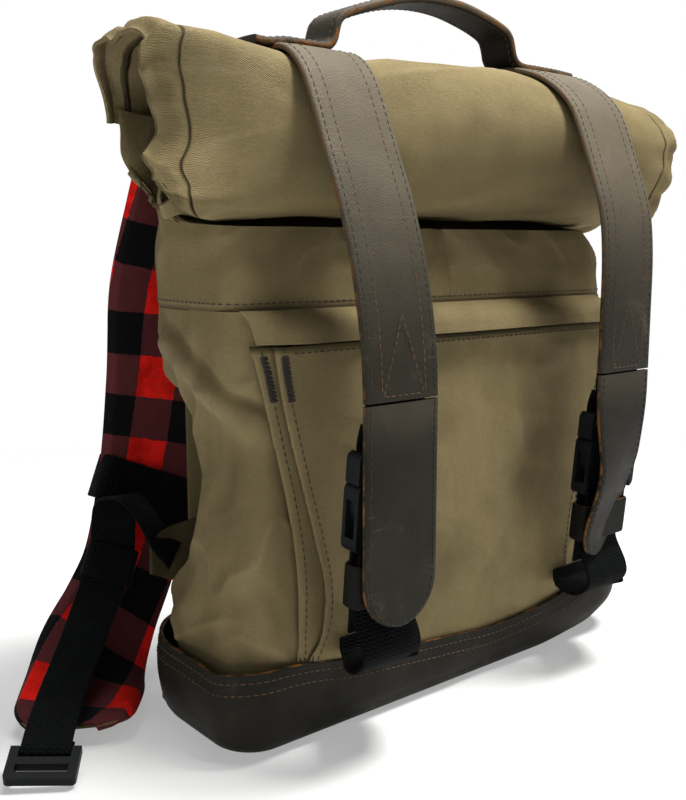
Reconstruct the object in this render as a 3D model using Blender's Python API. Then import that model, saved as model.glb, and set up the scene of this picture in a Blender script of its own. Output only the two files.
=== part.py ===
"""Roll-top canvas backpack with a leather base, leather closure straps and padded shoulder straps.

Lengths are in metres, +Z is up and -Y is the front. The origin is the centre of the base, on the floor.
"""
import math

import bmesh
import bpy
from mathutils import Matrix, Vector

# Fits shared by every piece
CLEAR = 0.0003
CANVAS = 0.0020
LEATHER = 0.0030
WEBBING = 0.0018

# Leather base: an open tray that the canvas body stands in
BASE_WIDTH = 0.300
BASE_DEPTH = 0.110
BASE_WALL = 0.0025
BASE_CORNER = 0.023
BASE_FILLET = 0.008
RIM_FRONT = 0.044
RIM_BACK = 0.060
BOARD_THICKNESS = 0.0025

# Canvas body
SEAM_HEIGHT = 0.229
WAIST_PINCH = 0.008
GUSSET_FOLD = 0.016
GUSSET_SEAM = 0.004

# Rolled top: centre of the roll, outer half sizes at the sheet's start, and what each turn takes off
ROLL_LENGTH = 0.352
ROLL_CENTRE_Y = -0.025
ROLL_CENTRE_Z = 0.314
ROLL_HALF_DEPTH = 0.068
ROLL_HALF_HEIGHT = 0.0475
ROLL_STEP_DEPTH = 0.0135
ROLL_STEP_HEIGHT = 0.0115
ROLL_TURNS = 2.3
ROLL_SHEET = 0.0048
ROLL_END_RECESS = 0.006
ROLL_START_DEGREES = 8.0
COLLAR_CLEARANCE = 0.004
COLLAR_BEND = 0.006
COLLAR_ROUND = 0.45

# Front pocket and its flap
POCKET_TOP = 0.214
POCKET_HALF_TOP = 0.129
POCKET_HALF_BOTTOM = 0.110
POCKET_DEPTH = 0.0095
POCKET_BOTTOM_DEPTH = 0.004
POCKET_PLEAT = 0.015
POCKET_WALL = 0.0016
FLAP_DROP = 0.020
FLAP_TOP_GAP = 0.0008
POCKET_SOLE = 0.2
FLAP_BEND_OUT = 0.55
FLAP_BEND_DOWN = 0.3

# Leather closure straps, one each side
STRAP_SPACING = 0.176
STRAP_WIDTH = 0.045
STRAP_STANDOFF = 0.015
STRAP_STEP_HEIGHT = 0.188
STRAP_TAIL_HEIGHT = 0.262
STRAP_LIFT_REACH = 0.032
STRAP_LIFT_FALL = 0.010
STRAP_SHOULDER = 0.022
TAB_LENGTH = 0.110

# Webbing and side-release buckle between the base and each closure strap, measured along the webbing
CLOSURE_WEBBING_WIDTH = 0.038
BASE_LAP = 0.014
KEEPER_START = 0.040
KEEPER_LENGTH = 0.022
RECEIVER_START = 0.069
RECEIVER_LENGTH = 0.034
RECEIVER_THICKNESS = 0.011
BUCKLE_WALL = 0.0035
BUCKLE_SKIN = 0.0023
MOUTH_LENGTH = 0.008
LATCH_DEPTH = 0.0015
PLUG_LENGTH = 0.015
GUIDE_WIDTH = 0.008
ARM_REACH = 0.022
ARM_THICKNESS = 0.004
BAR = 0.0024
SLOT = 0.0045
WEBBING_LAP = 0.034
WEBBING_BEND = 0.006
WEBBING_SLACK = 0.032
WEBBING_SAG = 0.016

# Carrying handle over the roll
HANDLE_WIDTH = 0.026
HANDLE_LEATHER = 0.0045
HANDLE_LENGTH = 0.244
HANDLE_FOOT = 0.072
HANDLE_GRIP_HALF = 0.061
HANDLE_RISE = 0.0155
HANDLE_CROWN = 0.0125
HANDLE_CURVE = 0.009

# Back pad
BACK_PAD_WIDTH = 0.220
BACK_PAD_BOTTOM = 0.070
BACK_PAD_TOP = 0.250
BACK_PAD_THICKNESS = 0.008
BACK_PAD_CORNER = 0.030

# Crown of the back pad: share of its thickness, and how far the outline is drawn in there
BACK_PAD_CROWN = ((0, 0), (0.6, 0), (0.9, 0.006), (1.0, 0.020))

# Shoulder straps
PAD_WIDTH = 0.064
PAD_THICKNESS = 0.009
LINING = 0.0012
PAD_TOP_HEIGHT = 0.312
PAD_STEPS = 4
BAND_WIDTH = 0.026
BAND_HEIGHT = 0.122
ADJUSTER_WIDTH = 0.025
LOCK_WALL = 0.0045
LOCK_THICKNESS = 0.005
WING_HEIGHT = 0.040
WING_BOTTOM = 0.068
WING_REACH = 0.020
WING_TIP_PLACE = 0.6
WING_TURN = 0.5
WEBBING_FLARE = 0.0045
TAIL_PLACE = 0.26
TAIL_START = 0.022
TAIL_LAP = 0.008

# Section of a shoulder pad: its flat side and its crown, in shares of its half width and of its thickness
PAD_FLAT = (-0.92, -0.46, 0.0, 0.46, 0.92)
PAD_CROWN = ((1.0, 0.2), (1.0, 0.55), (0.72, 0.94), (0.0, 1.0), (-0.72, 0.94), (-1.0, 0.55), (-1.0, 0.2))

# Colours, roughness and metal value of each finish
FINISHES = {
    "canvas": ((0.150, 0.118, 0.062), 0.85, 0.0),
    "leather": ((0.055, 0.036, 0.022), 0.50, 0.0),
    "webbing": ((0.010, 0.010, 0.011), 0.80, 0.0),
    "plastic": ((0.012, 0.012, 0.013), 0.40, 0.0),
    "plaid": ((0.420, 0.012, 0.015), 0.90, 0.0),
    "board": ((0.030, 0.030, 0.030), 0.60, 0.0),
}

# Sizes worked out from the ones above
BODY_HALF_WIDTH = BASE_WIDTH / 2 - BASE_WALL - CLEAR
BODY_HALF_DEPTH = BASE_DEPTH / 2 - BASE_WALL - CLEAR
BODY_CORNER = BASE_CORNER - BASE_WALL - CLEAR
STRAP_X = STRAP_SPACING / 2
WRAP_RADIUS = BAR / 2 * math.sqrt(2) + CLEAR + WEBBING / 2
X_AXIS = Vector((1, 0, 0))


def clear_scene():
    """Remove every object of the open scene."""
    for item in list(bpy.data.objects):
        bpy.data.objects.remove(item, do_unlink=True)


def add_finish(obj, finish):
    """Give an object its own material in one of the finishes."""
    color, roughness, metallic = FINISHES[finish]
    material = bpy.data.materials.new(obj.name + "_" + finish)
    material.use_nodes = True
    shader = material.node_tree.nodes["Principled BSDF"]
    shader.inputs["Base Color"].default_value = (*color, 1.0)
    shader.inputs["Roughness"].default_value = roughness
    shader.inputs["Metallic"].default_value = metallic
    obj.data.materials.append(material)


def add_object(name, points, faces, finish, origin=(0, 0, 0), sheet=False, frame=Matrix.Identity(4)):
    """Add a mesh from points in a frame, with the object's origin where the piece turns."""
    place = Vector(origin)
    mesh = bpy.data.meshes.new(name)
    mesh.from_pydata([Vector(p) - place for p in points], [], faces)
    if not sheet:
        work = bmesh.new()
        work.from_mesh(mesh)
        bmesh.ops.recalc_face_normals(work, faces=work.faces[:])
        work.to_mesh(mesh)
        work.free()
    obj = bpy.data.objects.new(name, mesh)
    obj.matrix_world = frame @ Matrix.Translation(place)
    bpy.context.scene.collection.objects.link(obj)
    if finish:
        add_finish(obj, finish)
    return obj


def add_sheet(name, rows, thickness, finish, closed=False, floor=False):
    """A wall of cloth or leather: a grid of points on its outer face, thickened inwards."""
    count = len(rows[0])
    points = [p for row in rows for p in row]
    faces = []
    for i in range(len(rows) - 1):
        for j in range(count if closed else count - 1):
            k = (j + 1) % count
            faces.append((i * count + j, i * count + k, (i + 1) * count + k, (i + 1) * count + j))
    if floor:
        faces.append(tuple(reversed(range(count))))
    obj = add_object(name, points, faces, finish, sheet=True)
    wall = obj.modifiers.new("wall", "SOLIDIFY")
    wall.thickness = thickness
    wall.offset = -1
    wall.use_even_offset = True
    return obj


def add_loft(name, rings, finish, origin=(0, 0, 0), frame=Matrix.Identity(4), split=False):
    """A closed body through a row of rings that have the same number of points.

    With split its sides are triangles, so that two twisted bodies side by side bend along the same lines.
    """
    count = len(rings[0])
    points = [p for ring in rings for p in ring]
    faces = [tuple(range(count)), tuple((len(rings) - 1) * count + j for j in reversed(range(count)))]
    for i in range(len(rings) - 1):
        for j in range(count):
            k = (j + 1) % count
            a, b, c, d = i * count + j, (i + 1) * count + j, (i + 1) * count + k, i * count + k
            faces += [(a, b, c), (a, c, d)] if split else [(a, b, c, d)]
    return add_object(name, points, faces, finish, origin, frame=frame)


def add_prism(name, outline, low, high, frame, finish, origin=(0, 0, 0)):
    """An outline in a frame's X and Z, extruded along its Y from low to high."""
    rings = [[(x, y, z) for x, z in outline] for y in (low, high)]
    return add_loft(name, rings, finish, origin, frame)


def add_box_tool(name, low, high, frame):
    """A box that only shapes another piece: a cutter, or a block that is joined on."""
    outline = [(low[0], low[2]), (high[0], low[2]), (high[0], high[2]), (low[0], high[2])]
    tool = add_prism(name, outline, low[1], high[1], frame, None)
    tool.hide_render = True
    tool.display_type = "WIRE"
    return tool


def shape_with(obj, tool, operation="DIFFERENCE"):
    """Cut a tool out of a piece, or join it on."""
    step = obj.modifiers.new(tool.name, "BOOLEAN")
    step.object = tool
    step.operation = operation
    step.solver = "EXACT"


def add_sleeve(name, frames, inner_width, inner_depth, wall, finish):
    """A flat ring round a strap, along the strap's own stations."""
    points = []
    for centre, side, normal, _ in frames:
        for grow in (0, wall):
            x = inner_width / 2 + grow
            y = inner_depth / 2 + grow
            points += [centre + side * a + normal * b for a, b in ((-x, -y), (x, -y), (x, y), (-x, y))]
    faces = []
    last = 8 * (len(frames) - 1)
    for j in range(4):
        k = (j + 1) % 4
        faces += [(j, k, k + 4, j + 4), (last + j, last + k, last + k + 4, last + j + 4)]
        for skin in (0, 4):
            for row in range(skin, last, 8):
                faces += [(row + j, row + 8 + j, row + 8 + k), (row + j, row + 8 + k, row + k)]
    return add_object(name, points, faces, finish)


def arc(centre, radius, start, end, steps):
    """Points on a circle between two angles in degrees."""
    angles = [math.radians(start + (end - start) * i / steps) for i in range(steps + 1)]
    return [(centre[0] + radius * math.cos(a), centre[1] + radius * math.sin(a)) for a in angles]


def front_corners(half_width, half_depth, radius, steps=4):
    """The front of a rounded rectangle, from its left side to its right side."""
    left = arc((radius - half_width, radius - half_depth), radius, 180, 270, steps)
    right = arc((half_width - radius, radius - half_depth), radius, 270, 360, steps)
    return left + right


def back_corners(half_width, half_depth, radius, steps=4):
    """The back of a rounded rectangle, from its right side to its left side."""
    return [(-x, -y) for x, y in front_corners(half_width, half_depth, radius, steps)]


def smoothstep(value):
    """Ease from 0 to 1."""
    value = min(max(value, 0.0), 1.0)
    return value * value * (3 - 2 * value)


def smooth_path(points, steps):
    """A smooth curve through points, with the given number of steps between each two."""
    points = [Vector(p) for p in points]
    padded = [points[0] * 2 - points[1]] + points + [points[-1] * 2 - points[-2]]
    out = []
    for i in range(len(points) - 1):
        a, b, c, d = padded[i:i + 4]
        for k in range(steps):
            t = k / steps
            out.append(0.5 * (2 * b + (c - a) * t + (2 * a - 5 * b + 4 * c - d) * t * t
                              + (3 * b - a - 3 * c + d) * t ** 3))
    return out + [points[-1]]


def path_frames(centres, sides):
    """At each point of a path: the point, its width direction, its outer normal and its tangent."""
    frames = []
    for i, centre in enumerate(centres):
        ahead = centres[min(i + 1, len(centres) - 1)]
        behind = centres[max(i - 1, 0)]
        tangent = (ahead - behind).normalized()
        side = (sides[i] - tangent * sides[i].dot(tangent)).normalized()
        frames.append((centre, side, side.cross(tangent), tangent))
    return frames


def add_strip(name, frames, widths, low, high, finish, origin=(0, 0, 0), split=False):
    """A flat strap along a path, between two heights over the path's own surface."""
    rings = []
    for (centre, side, normal, _), width in zip(frames, widths):
        half = width / 2
        corners = ((-half, low), (half, low), (half, high), (-half, high))
        rings.append([centre + side * a + normal * b for a, b in corners])
    return add_loft(name, rings, finish, origin, split=split)


def side_strip(name, x, path, width, thickness, finish, origin=(0, 0, 0), widths=None):
    """A strap that runs in the plane of Y and Z, with its width along X."""
    centres = [Vector((x, y, z)) for y, z in path]
    frames = path_frames(centres, [X_AXIS] * len(centres))
    widths = widths or [width] * len(centres)
    return add_strip(name, frames, widths, -thickness / 2, thickness / 2, finish, origin)


def frame_matrix(centre, x_axis, y_axis, z_axis):
    """A placement from three directions and a point."""
    turn = Matrix((x_axis, y_axis, z_axis)).transposed().to_4x4()
    return Matrix.Translation(centre) @ turn


def make_base():
    """Leather tray with rounded corners and a rim that rises to the back, and its stiffening board."""
    half_width = BASE_WIDTH / 2
    half_depth = BASE_DEPTH / 2

    def outline(inset):
        size = (half_width - inset, half_depth - inset, BASE_CORNER - inset)
        return front_corners(*size) + back_corners(*size)

    rows = []
    for degrees in (0, 30, 60, 90):
        angle = math.radians(degrees)
        inset = BASE_FILLET * (1 - math.sin(angle))
        height = BASE_FILLET * (1 - math.cos(angle))
        rows.append([(x, y, height) for x, y in outline(inset)])
    rim = []
    for x, y in outline(0):
        rise = smoothstep((y + half_depth) / BASE_DEPTH)
        rim.append((x, y, RIM_FRONT + (RIM_BACK - RIM_FRONT) * rise))
    rows.append(rim)
    add_sheet("leather_base", rows, BASE_WALL, "leather", closed=True, floor=True)

    board = [(x, y) for x, y in outline(BASE_FILLET)]
    low = BASE_WALL + CLEAR
    rings = [[(x, y, z) for x, y in board] for z in (low, low + BOARD_THICKNESS)]
    add_loft("base_board", rings, "board")


def waist(z):
    """How far the empty body is drawn in at a height: 0 at the rim and at the seam, 1 between them."""
    share = min(max((z - RIM_BACK) / (SEAM_HEIGHT - RIM_BACK), 0.0), 1.0)
    return math.sin(math.pi * share) ** 2


def body_heights():
    """Heights of the rows of points on the body's panels."""
    levels = 8
    return [BASE_FILLET] + [RIM_BACK + (SEAM_HEIGHT - RIM_BACK) * i / levels for i in range(levels + 1)]


def make_body():
    """Front, back and two side panels, sewn along the ends of the rounded corners."""
    side_steps = 6
    front_rows = []
    back_rows = []
    left_rows = []
    right_rows = []
    edge = BODY_HALF_DEPTH - BODY_CORNER - GUSSET_SEAM
    side_half = edge - CLEAR
    fold_half = side_half - GUSSET_SEAM
    places = [fold_half * (2 * i / side_steps - 1) for i in range(side_steps + 1)]
    for z in body_heights():
        half_width = BODY_HALF_WIDTH - WAIST_PINCH * waist(z)
        size = (half_width, BODY_HALF_DEPTH, BODY_CORNER)
        front = [(-half_width, -edge)] + front_corners(*size) + [(half_width, -edge)]
        front_rows.append([(x, y, z) for x, y in front])
        back_rows.append([(-x, -y, z) for x, y in front])
        right = [(half_width, -side_half, z)]
        for y in places:
            fold = GUSSET_FOLD * waist(z) * math.cos(math.pi * y / fold_half / 2) ** 2
            right.append((half_width - fold, y, z))
        right.append((half_width, side_half, z))
        right_rows.append(right)
        left_rows.append([(-x, -y, z) for x, y, z in right])
    add_sheet("front_panel", front_rows, CANVAS, "canvas")
    add_sheet("back_panel", back_rows, CANVAS, "canvas")
    add_sheet("left_gusset", left_rows, CANVAS, "canvas")
    add_sheet("right_gusset", right_rows, CANVAS, "canvas")


def roll_point(degrees, offset=0.0):
    """A point of the rolled sheet, from 0 at the back over the top, and an offset out of the roll."""
    angle = math.radians(degrees)
    turns = degrees / 360
    depth = ROLL_HALF_DEPTH - ROLL_STEP_DEPTH * turns
    height = ROLL_HALF_HEIGHT - ROLL_STEP_HEIGHT * turns
    normal = Vector((height * math.cos(angle), depth * math.sin(angle))).normalized()
    y = ROLL_CENTRE_Y + depth * math.cos(angle) + offset * normal.x
    z = ROLL_CENTRE_Z + height * math.sin(angle) + offset * normal.y
    return (y, z)


def make_collar():
    """Canvas collar over the body: it passes under the roll and closes flat behind it."""
    shelf = ROLL_SHEET / 2 + COLLAR_CLEARANCE
    top_y, top_z = roll_point(ROLL_START_DEGREES)
    top_z -= 3 * CLEAR
    half_gap = ROLL_SHEET / 2
    low = SEAM_HEIGHT + CLEAR
    under = [roll_point(angle, shelf) for angle in (258, 282, 306, 328)]
    bend = under[0][1] - COLLAR_BEND
    front = [(-BODY_HALF_DEPTH, low), (-BODY_HALF_DEPTH, bend)] + under + [(top_y - half_gap, top_z)]
    rows = []
    last = len(front) - 1
    for i, (front_y, front_z) in enumerate(front):
        share = max(i - 1, 0) / (last - 1)
        back_z = low if i == 0 else bend + (top_z - bend) * share
        back_y = BODY_HALF_DEPTH + (top_y + half_gap - BODY_HALF_DEPTH) * smoothstep(share)
        half_width = BODY_HALF_WIDTH + (ROLL_LENGTH / 2 - BODY_HALF_WIDTH) * smoothstep(share)
        depth = Vector((back_y - front_y, back_z - front_z)).length
        radius = min(BODY_CORNER, depth * COLLAR_ROUND)
        size = (half_width, depth / 2, radius)
        row = []
        for x, v in front_corners(*size) + back_corners(*size):
            part = v / depth + 0.5
            row.append((x, front_y + (back_y - front_y) * part, front_z + (back_z - front_z) * part))
        rows.append(row)
    add_sheet("collar", rows, CANVAS, "canvas", closed=True)


def make_roll():
    """The flattened collar rolled forward in a spiral, each turn a little narrower than the last."""
    step = 15
    count = int(ROLL_TURNS * 360 / step)
    sweep = ROLL_TURNS * 360 - ROLL_START_DEGREES
    angles = [ROLL_START_DEGREES + sweep * i / count for i in range(count + 1)]
    path = [roll_point(angle) for angle in angles]
    widths = [ROLL_LENGTH - 2 * ROLL_END_RECESS * angle / angles[-1] for angle in angles]
    side_strip("roll_top", 0.0, path, ROLL_LENGTH, ROLL_SHEET, "canvas", widths=widths)


def make_pocket():
    """Pleated front pocket, open at its top, and the flap that hangs over its mouth."""
    back = -BODY_HALF_DEPTH - CLEAR
    bottom = RIM_FRONT + CLEAR
    full = bottom + (POCKET_TOP - bottom) * POCKET_SOLE
    rows = []
    for z in (bottom, full, (full + POCKET_TOP) / 2, POCKET_TOP):
        rise = (z - bottom) / (POCKET_TOP - bottom)
        outer = POCKET_HALF_BOTTOM + (POCKET_HALF_TOP - POCKET_HALF_BOTTOM) * rise
        inner = outer - POCKET_PLEAT
        depth = POCKET_BOTTOM_DEPTH if z == bottom else POCKET_DEPTH
        middle = back - depth / 2
        front = back - depth
        left = [(-outer, back, z), (-outer, middle, z), (-inner, middle, z), (-inner, front, z)]
        rows.append(left + [(-x, y, z) for x, y, z in reversed(left)])
    add_sheet("pocket_panel", rows, POCKET_WALL, "canvas")

    front = back - POCKET_DEPTH - CLEAR - CANVAS / 2
    top = SEAM_HEIGHT - FLAP_TOP_GAP
    path = [
        (back - CANVAS / 2, top),
        (back - CANVAS / 2 - POCKET_DEPTH * FLAP_BEND_OUT, top - FLAP_DROP * FLAP_BEND_DOWN),
        (front, POCKET_TOP + CLEAR),
        (front, top - FLAP_DROP),
    ]
    length = 2 * POCKET_HALF_TOP
    hinge = (0.0, back - CANVAS, top)
    side_strip("pocket_flap", 0.0, path, length, CANVAS, "canvas", origin=hinge)


def strap_front():
    """Y of the middle of a closure strap where it hangs in front of the roll."""
    return roll_point(180, ROLL_SHEET / 2)[0] - STRAP_STANDOFF - LEATHER / 2


def closure_line():
    """Foot of the slack webbing, its length up to the strap, and its directions up and back."""
    start = Vector((-BASE_DEPTH / 2 - WEBBING_SLACK, RIM_FRONT + BASE_WALL))
    end = Vector((strap_front() + LEATHER / 2 + 2 * WEBBING, STRAP_STEP_HEIGHT + WEBBING))
    run = end - start
    up = run.normalized()
    return start, run.length, up, Vector((up.y, -up.x))


def on_line(back, along):
    """A point beside the closure webbing: how far behind its line, and how far along it."""
    start, _, up, behind = closure_line()
    point = start + up * along + behind * back
    return (point.x, point.y)


def wrap(along, start, end, steps=8):
    """The turn of webbing round a buckle's bar, as points beside the closure line."""
    return [on_line(y, z) for y, z in arc((0.0, along), WRAP_RADIUS, start, end, steps)]


def make_closure_strap(side, x):
    """Leather strap from behind the collar over the roll, and the loose tab that hides the buckle."""
    wrap_offset = ROLL_SHEET / 2 + CLEAR + LEATHER / 2
    behind = BODY_HALF_DEPTH + CLEAR + LEATHER / 2
    front = strap_front()
    path = [(behind, STRAP_TAIL_HEIGHT), (behind, PAD_TOP_HEIGHT)]
    path += [roll_point(angle, wrap_offset) for angle in range(24, 121, 12)]
    lift = roll_point(120, wrap_offset)
    drop = (front, ROLL_CENTRE_Z - ROLL_HALF_HEIGHT / 2)
    leave = (lift[0] - STRAP_LIFT_REACH, lift[1] - STRAP_LIFT_FALL)
    path += bezier(lift, leave, (front, ROLL_CENTRE_Z + STRAP_SHOULDER), drop, 8)[1:]
    path.append((front, STRAP_STEP_HEIGHT + CLEAR / 2))
    side_strip(side + "_closure_strap", x, path, STRAP_WIDTH, LEATHER, "leather")

    top = STRAP_STEP_HEIGHT - CLEAR / 2
    end_radius = STRAP_WIDTH / 2
    depths = [0.0, (TAB_LENGTH - end_radius) / 2]
    depths += [TAB_LENGTH - end_radius + end_radius * math.sin(math.radians(a)) for a in range(0, 81, 16)]
    widths = []
    for depth in depths:
        past = max(depth - (TAB_LENGTH - end_radius), 0.0)
        widths.append(2 * math.sqrt(end_radius ** 2 - past ** 2))
    hinge = (x, front - LEATHER / 2, top)
    path = [(front, top - depth) for depth in depths]
    side_strip(side + "_closure_tab", x, path, STRAP_WIDTH, LEATHER, "leather", hinge, widths)


def bezier(a, b, c, d, steps):
    """Points on a cubic curve."""
    a, b, c, d = (Vector(p) for p in (a, b, c, d))
    out = []
    for i in range(steps + 1):
        t = i / steps
        s = 1 - t
        point = a * s ** 3 + b * 3 * s * s * t + c * 3 * s * t * t + d * t ** 3
        out.append((point.x, point.y))
    return out


def make_closure_webbing(side, x):
    """Lower webbing from the base to the receiver, upper webbing up to the strap, and the keeper."""
    _, length, _, _ = closure_line()
    face = -BASE_DEPTH / 2 - CLEAR - WEBBING / 2
    low_bar = RECEIVER_START + BAR / 2
    joined = (WEBBING + CLEAR) / 2
    leave = (face, RIM_FRONT - BASE_LAP / 2)
    above = (face - CLEAR, RIM_FRONT - CLEAR)
    sag = (on_line(-joined, 0)[0], RIM_FRONT - WEBBING_SAG)
    path = [(face, RIM_FRONT - BASE_LAP)]
    path += bezier(leave, above, sag, on_line(-joined, WEBBING_BEND), 8)
    path += [on_line(-joined, KEEPER_START), on_line(-WRAP_RADIUS, KEEPER_START + KEEPER_LENGTH)]
    path += wrap(low_bar, 180, 0)
    path += [on_line(WRAP_RADIUS, KEEPER_START + KEEPER_LENGTH), on_line(joined, KEEPER_START)]
    path.append(on_line(joined, KEEPER_START - BASE_LAP))
    side_strip(side + "_lower_webbing", x, path, CLOSURE_WEBBING_WIDTH, WEBBING, "webbing")

    high_bar = plug_top() - BAR / 2
    inner = strap_front() + LEATHER / 2 + CLEAR + WEBBING / 2
    path = [(inner, STRAP_STEP_HEIGHT + WEBBING_LAP), (inner, STRAP_STEP_HEIGHT + WEBBING_BEND)]
    path += [on_line(-joined, length - 2 * WEBBING_BEND), on_line(-WRAP_RADIUS, high_bar + WEBBING_BEND)]
    path += wrap(high_bar, 180, 360)
    path += [on_line(WRAP_RADIUS, high_bar + WEBBING_BEND), on_line(joined, length - 3 * WEBBING_BEND)]
    side_strip(side + "_upper_webbing", x, path, CLOSURE_WEBBING_WIDTH, WEBBING, "webbing")

    room = 2 * (WRAP_RADIUS + WEBBING / 2 + CLEAR)
    inside = CLOSURE_WEBBING_WIDTH + 2 * CLEAR
    line = line_frame(x)
    turn = line.to_3x3().col
    ends = (KEEPER_START, KEEPER_START + KEEPER_LENGTH)
    frames = [(line @ Vector((0, 0, end)), turn[0], turn[1], turn[2]) for end in ends]
    add_sleeve(side + "_webbing_keeper", frames, inside, room, BASE_WALL, "leather")


def line_frame(x):
    """Placement of the closure line: X across the bag, Y back from the webbing, Z along it."""
    start, _, up, behind = closure_line()
    return frame_matrix(
        Vector((x, start.x, start.y)),
        X_AXIS,
        Vector((0, behind.x, behind.y)),
        Vector((0, up.x, up.y)),
    )


def receiver_end():
    """Where the receiver's mouth ends, along the closure line."""
    return RECEIVER_START + RECEIVER_LENGTH


def plug_top():
    """Where the plug's webbing bar ends, along the closure line."""
    return receiver_end() + CLEAR + PLUG_LENGTH


def make_buckle(side, x):
    """Side-release buckle: a hollow receiver, a plug with its guide, and two arms that press in."""
    frame = line_frame(x)
    slot_half = CLOSURE_WEBBING_WIDTH / 2 + 2 * CLEAR
    half = slot_half + BUCKLE_WALL
    deep = RECEIVER_THICKNESS / 2
    start = RECEIVER_START
    mouth = receiver_end()
    cavity_half = half - BUCKLE_WALL
    cavity_deep = deep - BUCKLE_SKIN
    latch = mouth - MOUTH_LENGTH
    tip = mouth - ARM_REACH
    corner = BUCKLE_WALL

    outline = arc((half - corner, mouth - corner), corner, 0, 90, 3)
    outline += arc((corner - half, mouth - corner), corner, 90, 180, 3)
    outline += arc((corner - half, start + corner), corner, 180, 270, 3)
    outline += arc((half - corner, start + corner), corner, 270, 360, 3)
    receiver = add_prism(side + "_buckle_receiver", outline, -deep, deep, frame, "plastic")
    past = 2 * deep
    bar_end = start + BAR
    floor = bar_end + SLOT + BAR
    cuts = {
        "cavity": ((-cavity_half, -cavity_deep, floor), (cavity_half, cavity_deep, mouth + past)),
        "windows": ((-half - past, -cavity_deep, tip - 2 * BAR), (half + past, cavity_deep, latch)),
        "slot": ((-slot_half, -past, bar_end), (slot_half, past, bar_end + SLOT)),
        "bar_front": ((-slot_half, -past, start - past), (slot_half, -BAR / 2, bar_end + BAR / 2)),
        "bar_back": ((-slot_half, BAR / 2, start - past), (slot_half, past, bar_end + BAR / 2)),
    }
    for key, (low, high) in cuts.items():
        shape_with(receiver, add_box_tool(side + "_receiver_" + key, low, high, frame))

    foot = mouth + CLEAR
    top = plug_top()
    block_deep = deep - BAR / 4
    outline = [(-half, foot), (half, foot)]
    outline += arc((half - corner, top - corner), corner, 0, 90, 3)
    outline += arc((corner - half, top - corner), corner, 90, 180, 3)
    plug = add_prism(side + "_buckle_plug", outline, -block_deep, block_deep, frame, "plastic")
    guide_deep = cavity_deep - CLEAR
    guide = add_box_tool(
        side + "_plug_guide",
        (-GUIDE_WIDTH / 2, -guide_deep, tip),
        (GUIDE_WIDTH / 2, guide_deep, foot + BAR),
        frame,
    )
    shape_with(plug, guide, "UNION")
    bar_start = top - BAR
    cuts = {
        "slot": ((-slot_half, -past, bar_start - SLOT), (slot_half, past, bar_start)),
        "bar_front": ((-slot_half, -past, bar_start - BAR / 2), (slot_half, -BAR / 2, top + past)),
        "bar_back": ((-slot_half, BAR / 2, bar_start - BAR / 2), (slot_half, past, top + past)),
    }
    for key, (low, high) in cuts.items():
        shape_with(plug, add_box_tool(side + "_plug_" + key, low, high, frame))

    root_inner = cavity_half - 2 * ARM_THICKNESS
    root_outer = root_inner + ARM_THICKNESS
    barb = cavity_half + LATCH_DEPTH
    arm = [
        (root_inner + BAR / 2, mouth),
        (root_inner, mouth - BAR / 2),
        (root_inner, tip + BAR),
        (root_inner + BAR, tip),
        (root_outer + BAR, tip + BAR / 2),
        (barb - BAR / 2, tip + 2 * BAR),
        (barb, latch - 2 * BAR),
        (barb, latch - CLEAR),
        (root_outer, latch - CLEAR),
        (root_outer, mouth - BAR / 2),
        (root_outer - BAR / 2, mouth),
    ]
    for place, sign in (("outer", math.copysign(1, x)), ("inner", -math.copysign(1, x))):
        pivot = (sign * (root_inner + root_outer) / 2, 0, mouth)
        outline = [(sign * a, b) for a, b in arm]
        name = side + "_buckle_arm_" + place
        add_prism(name, outline, -guide_deep, guide_deep, frame, "plastic", pivot)


def make_handle():
    """Leather handle: its feet lie over both closure straps and its grip arches over the roll."""
    rest = roll_point(90, ROLL_SHEET / 2)[1] + CLEAR + LEATHER + CLEAR + HANDLE_LEATHER / 2
    y = roll_point(90)[0]
    grip = rest + HANDLE_RISE
    foot = (-HANDLE_FOOT, rest)
    knee = (-HANDLE_GRIP_HALF, grip)
    left = [(-HANDLE_LENGTH / 2, rest), (-STRAP_X, rest)]
    low = (foot[0] + HANDLE_CURVE, rest)
    high = (knee[0] - HANDLE_CURVE, grip - HANDLE_CURVE / 2)
    left += bezier(foot, low, high, knee, 6)
    for share in (3, 2, 1):
        x = knee[0] * share / 4
        left.append((x, grip + HANDLE_CROWN * (1 - (x / knee[0]) ** 2)))
    path = left + [(0.0, grip + HANDLE_CROWN)] + [(-x, z) for x, z in reversed(left)]
    centres = [Vector((x, y, z)) for x, z in path]
    across = Vector((0, 1, 0))
    frames = path_frames(centres, [across] * len(centres))
    widths = [HANDLE_WIDTH] * len(centres)
    half = HANDLE_LEATHER / 2
    add_strip("handle", frames, widths, -half, half, "leather")


def make_back_pad():
    """Padded panel on the back, rounded at its corners and crowned towards the wearer."""
    middle = (BACK_PAD_BOTTOM + BACK_PAD_TOP) / 2
    half_height = (BACK_PAD_TOP - BACK_PAD_BOTTOM) / 2
    inner = BODY_HALF_DEPTH + CLEAR
    rings = []
    for depth, inset in BACK_PAD_CROWN:
        size = (BACK_PAD_WIDTH / 2 - inset, half_height - inset, BACK_PAD_CORNER - inset)
        outline = front_corners(*size) + back_corners(*size)
        rings.append([(x, inner + depth * BACK_PAD_THICKNESS, middle + z) for x, z in outline])
    add_loft("back_pad", rings, "canvas")


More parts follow.
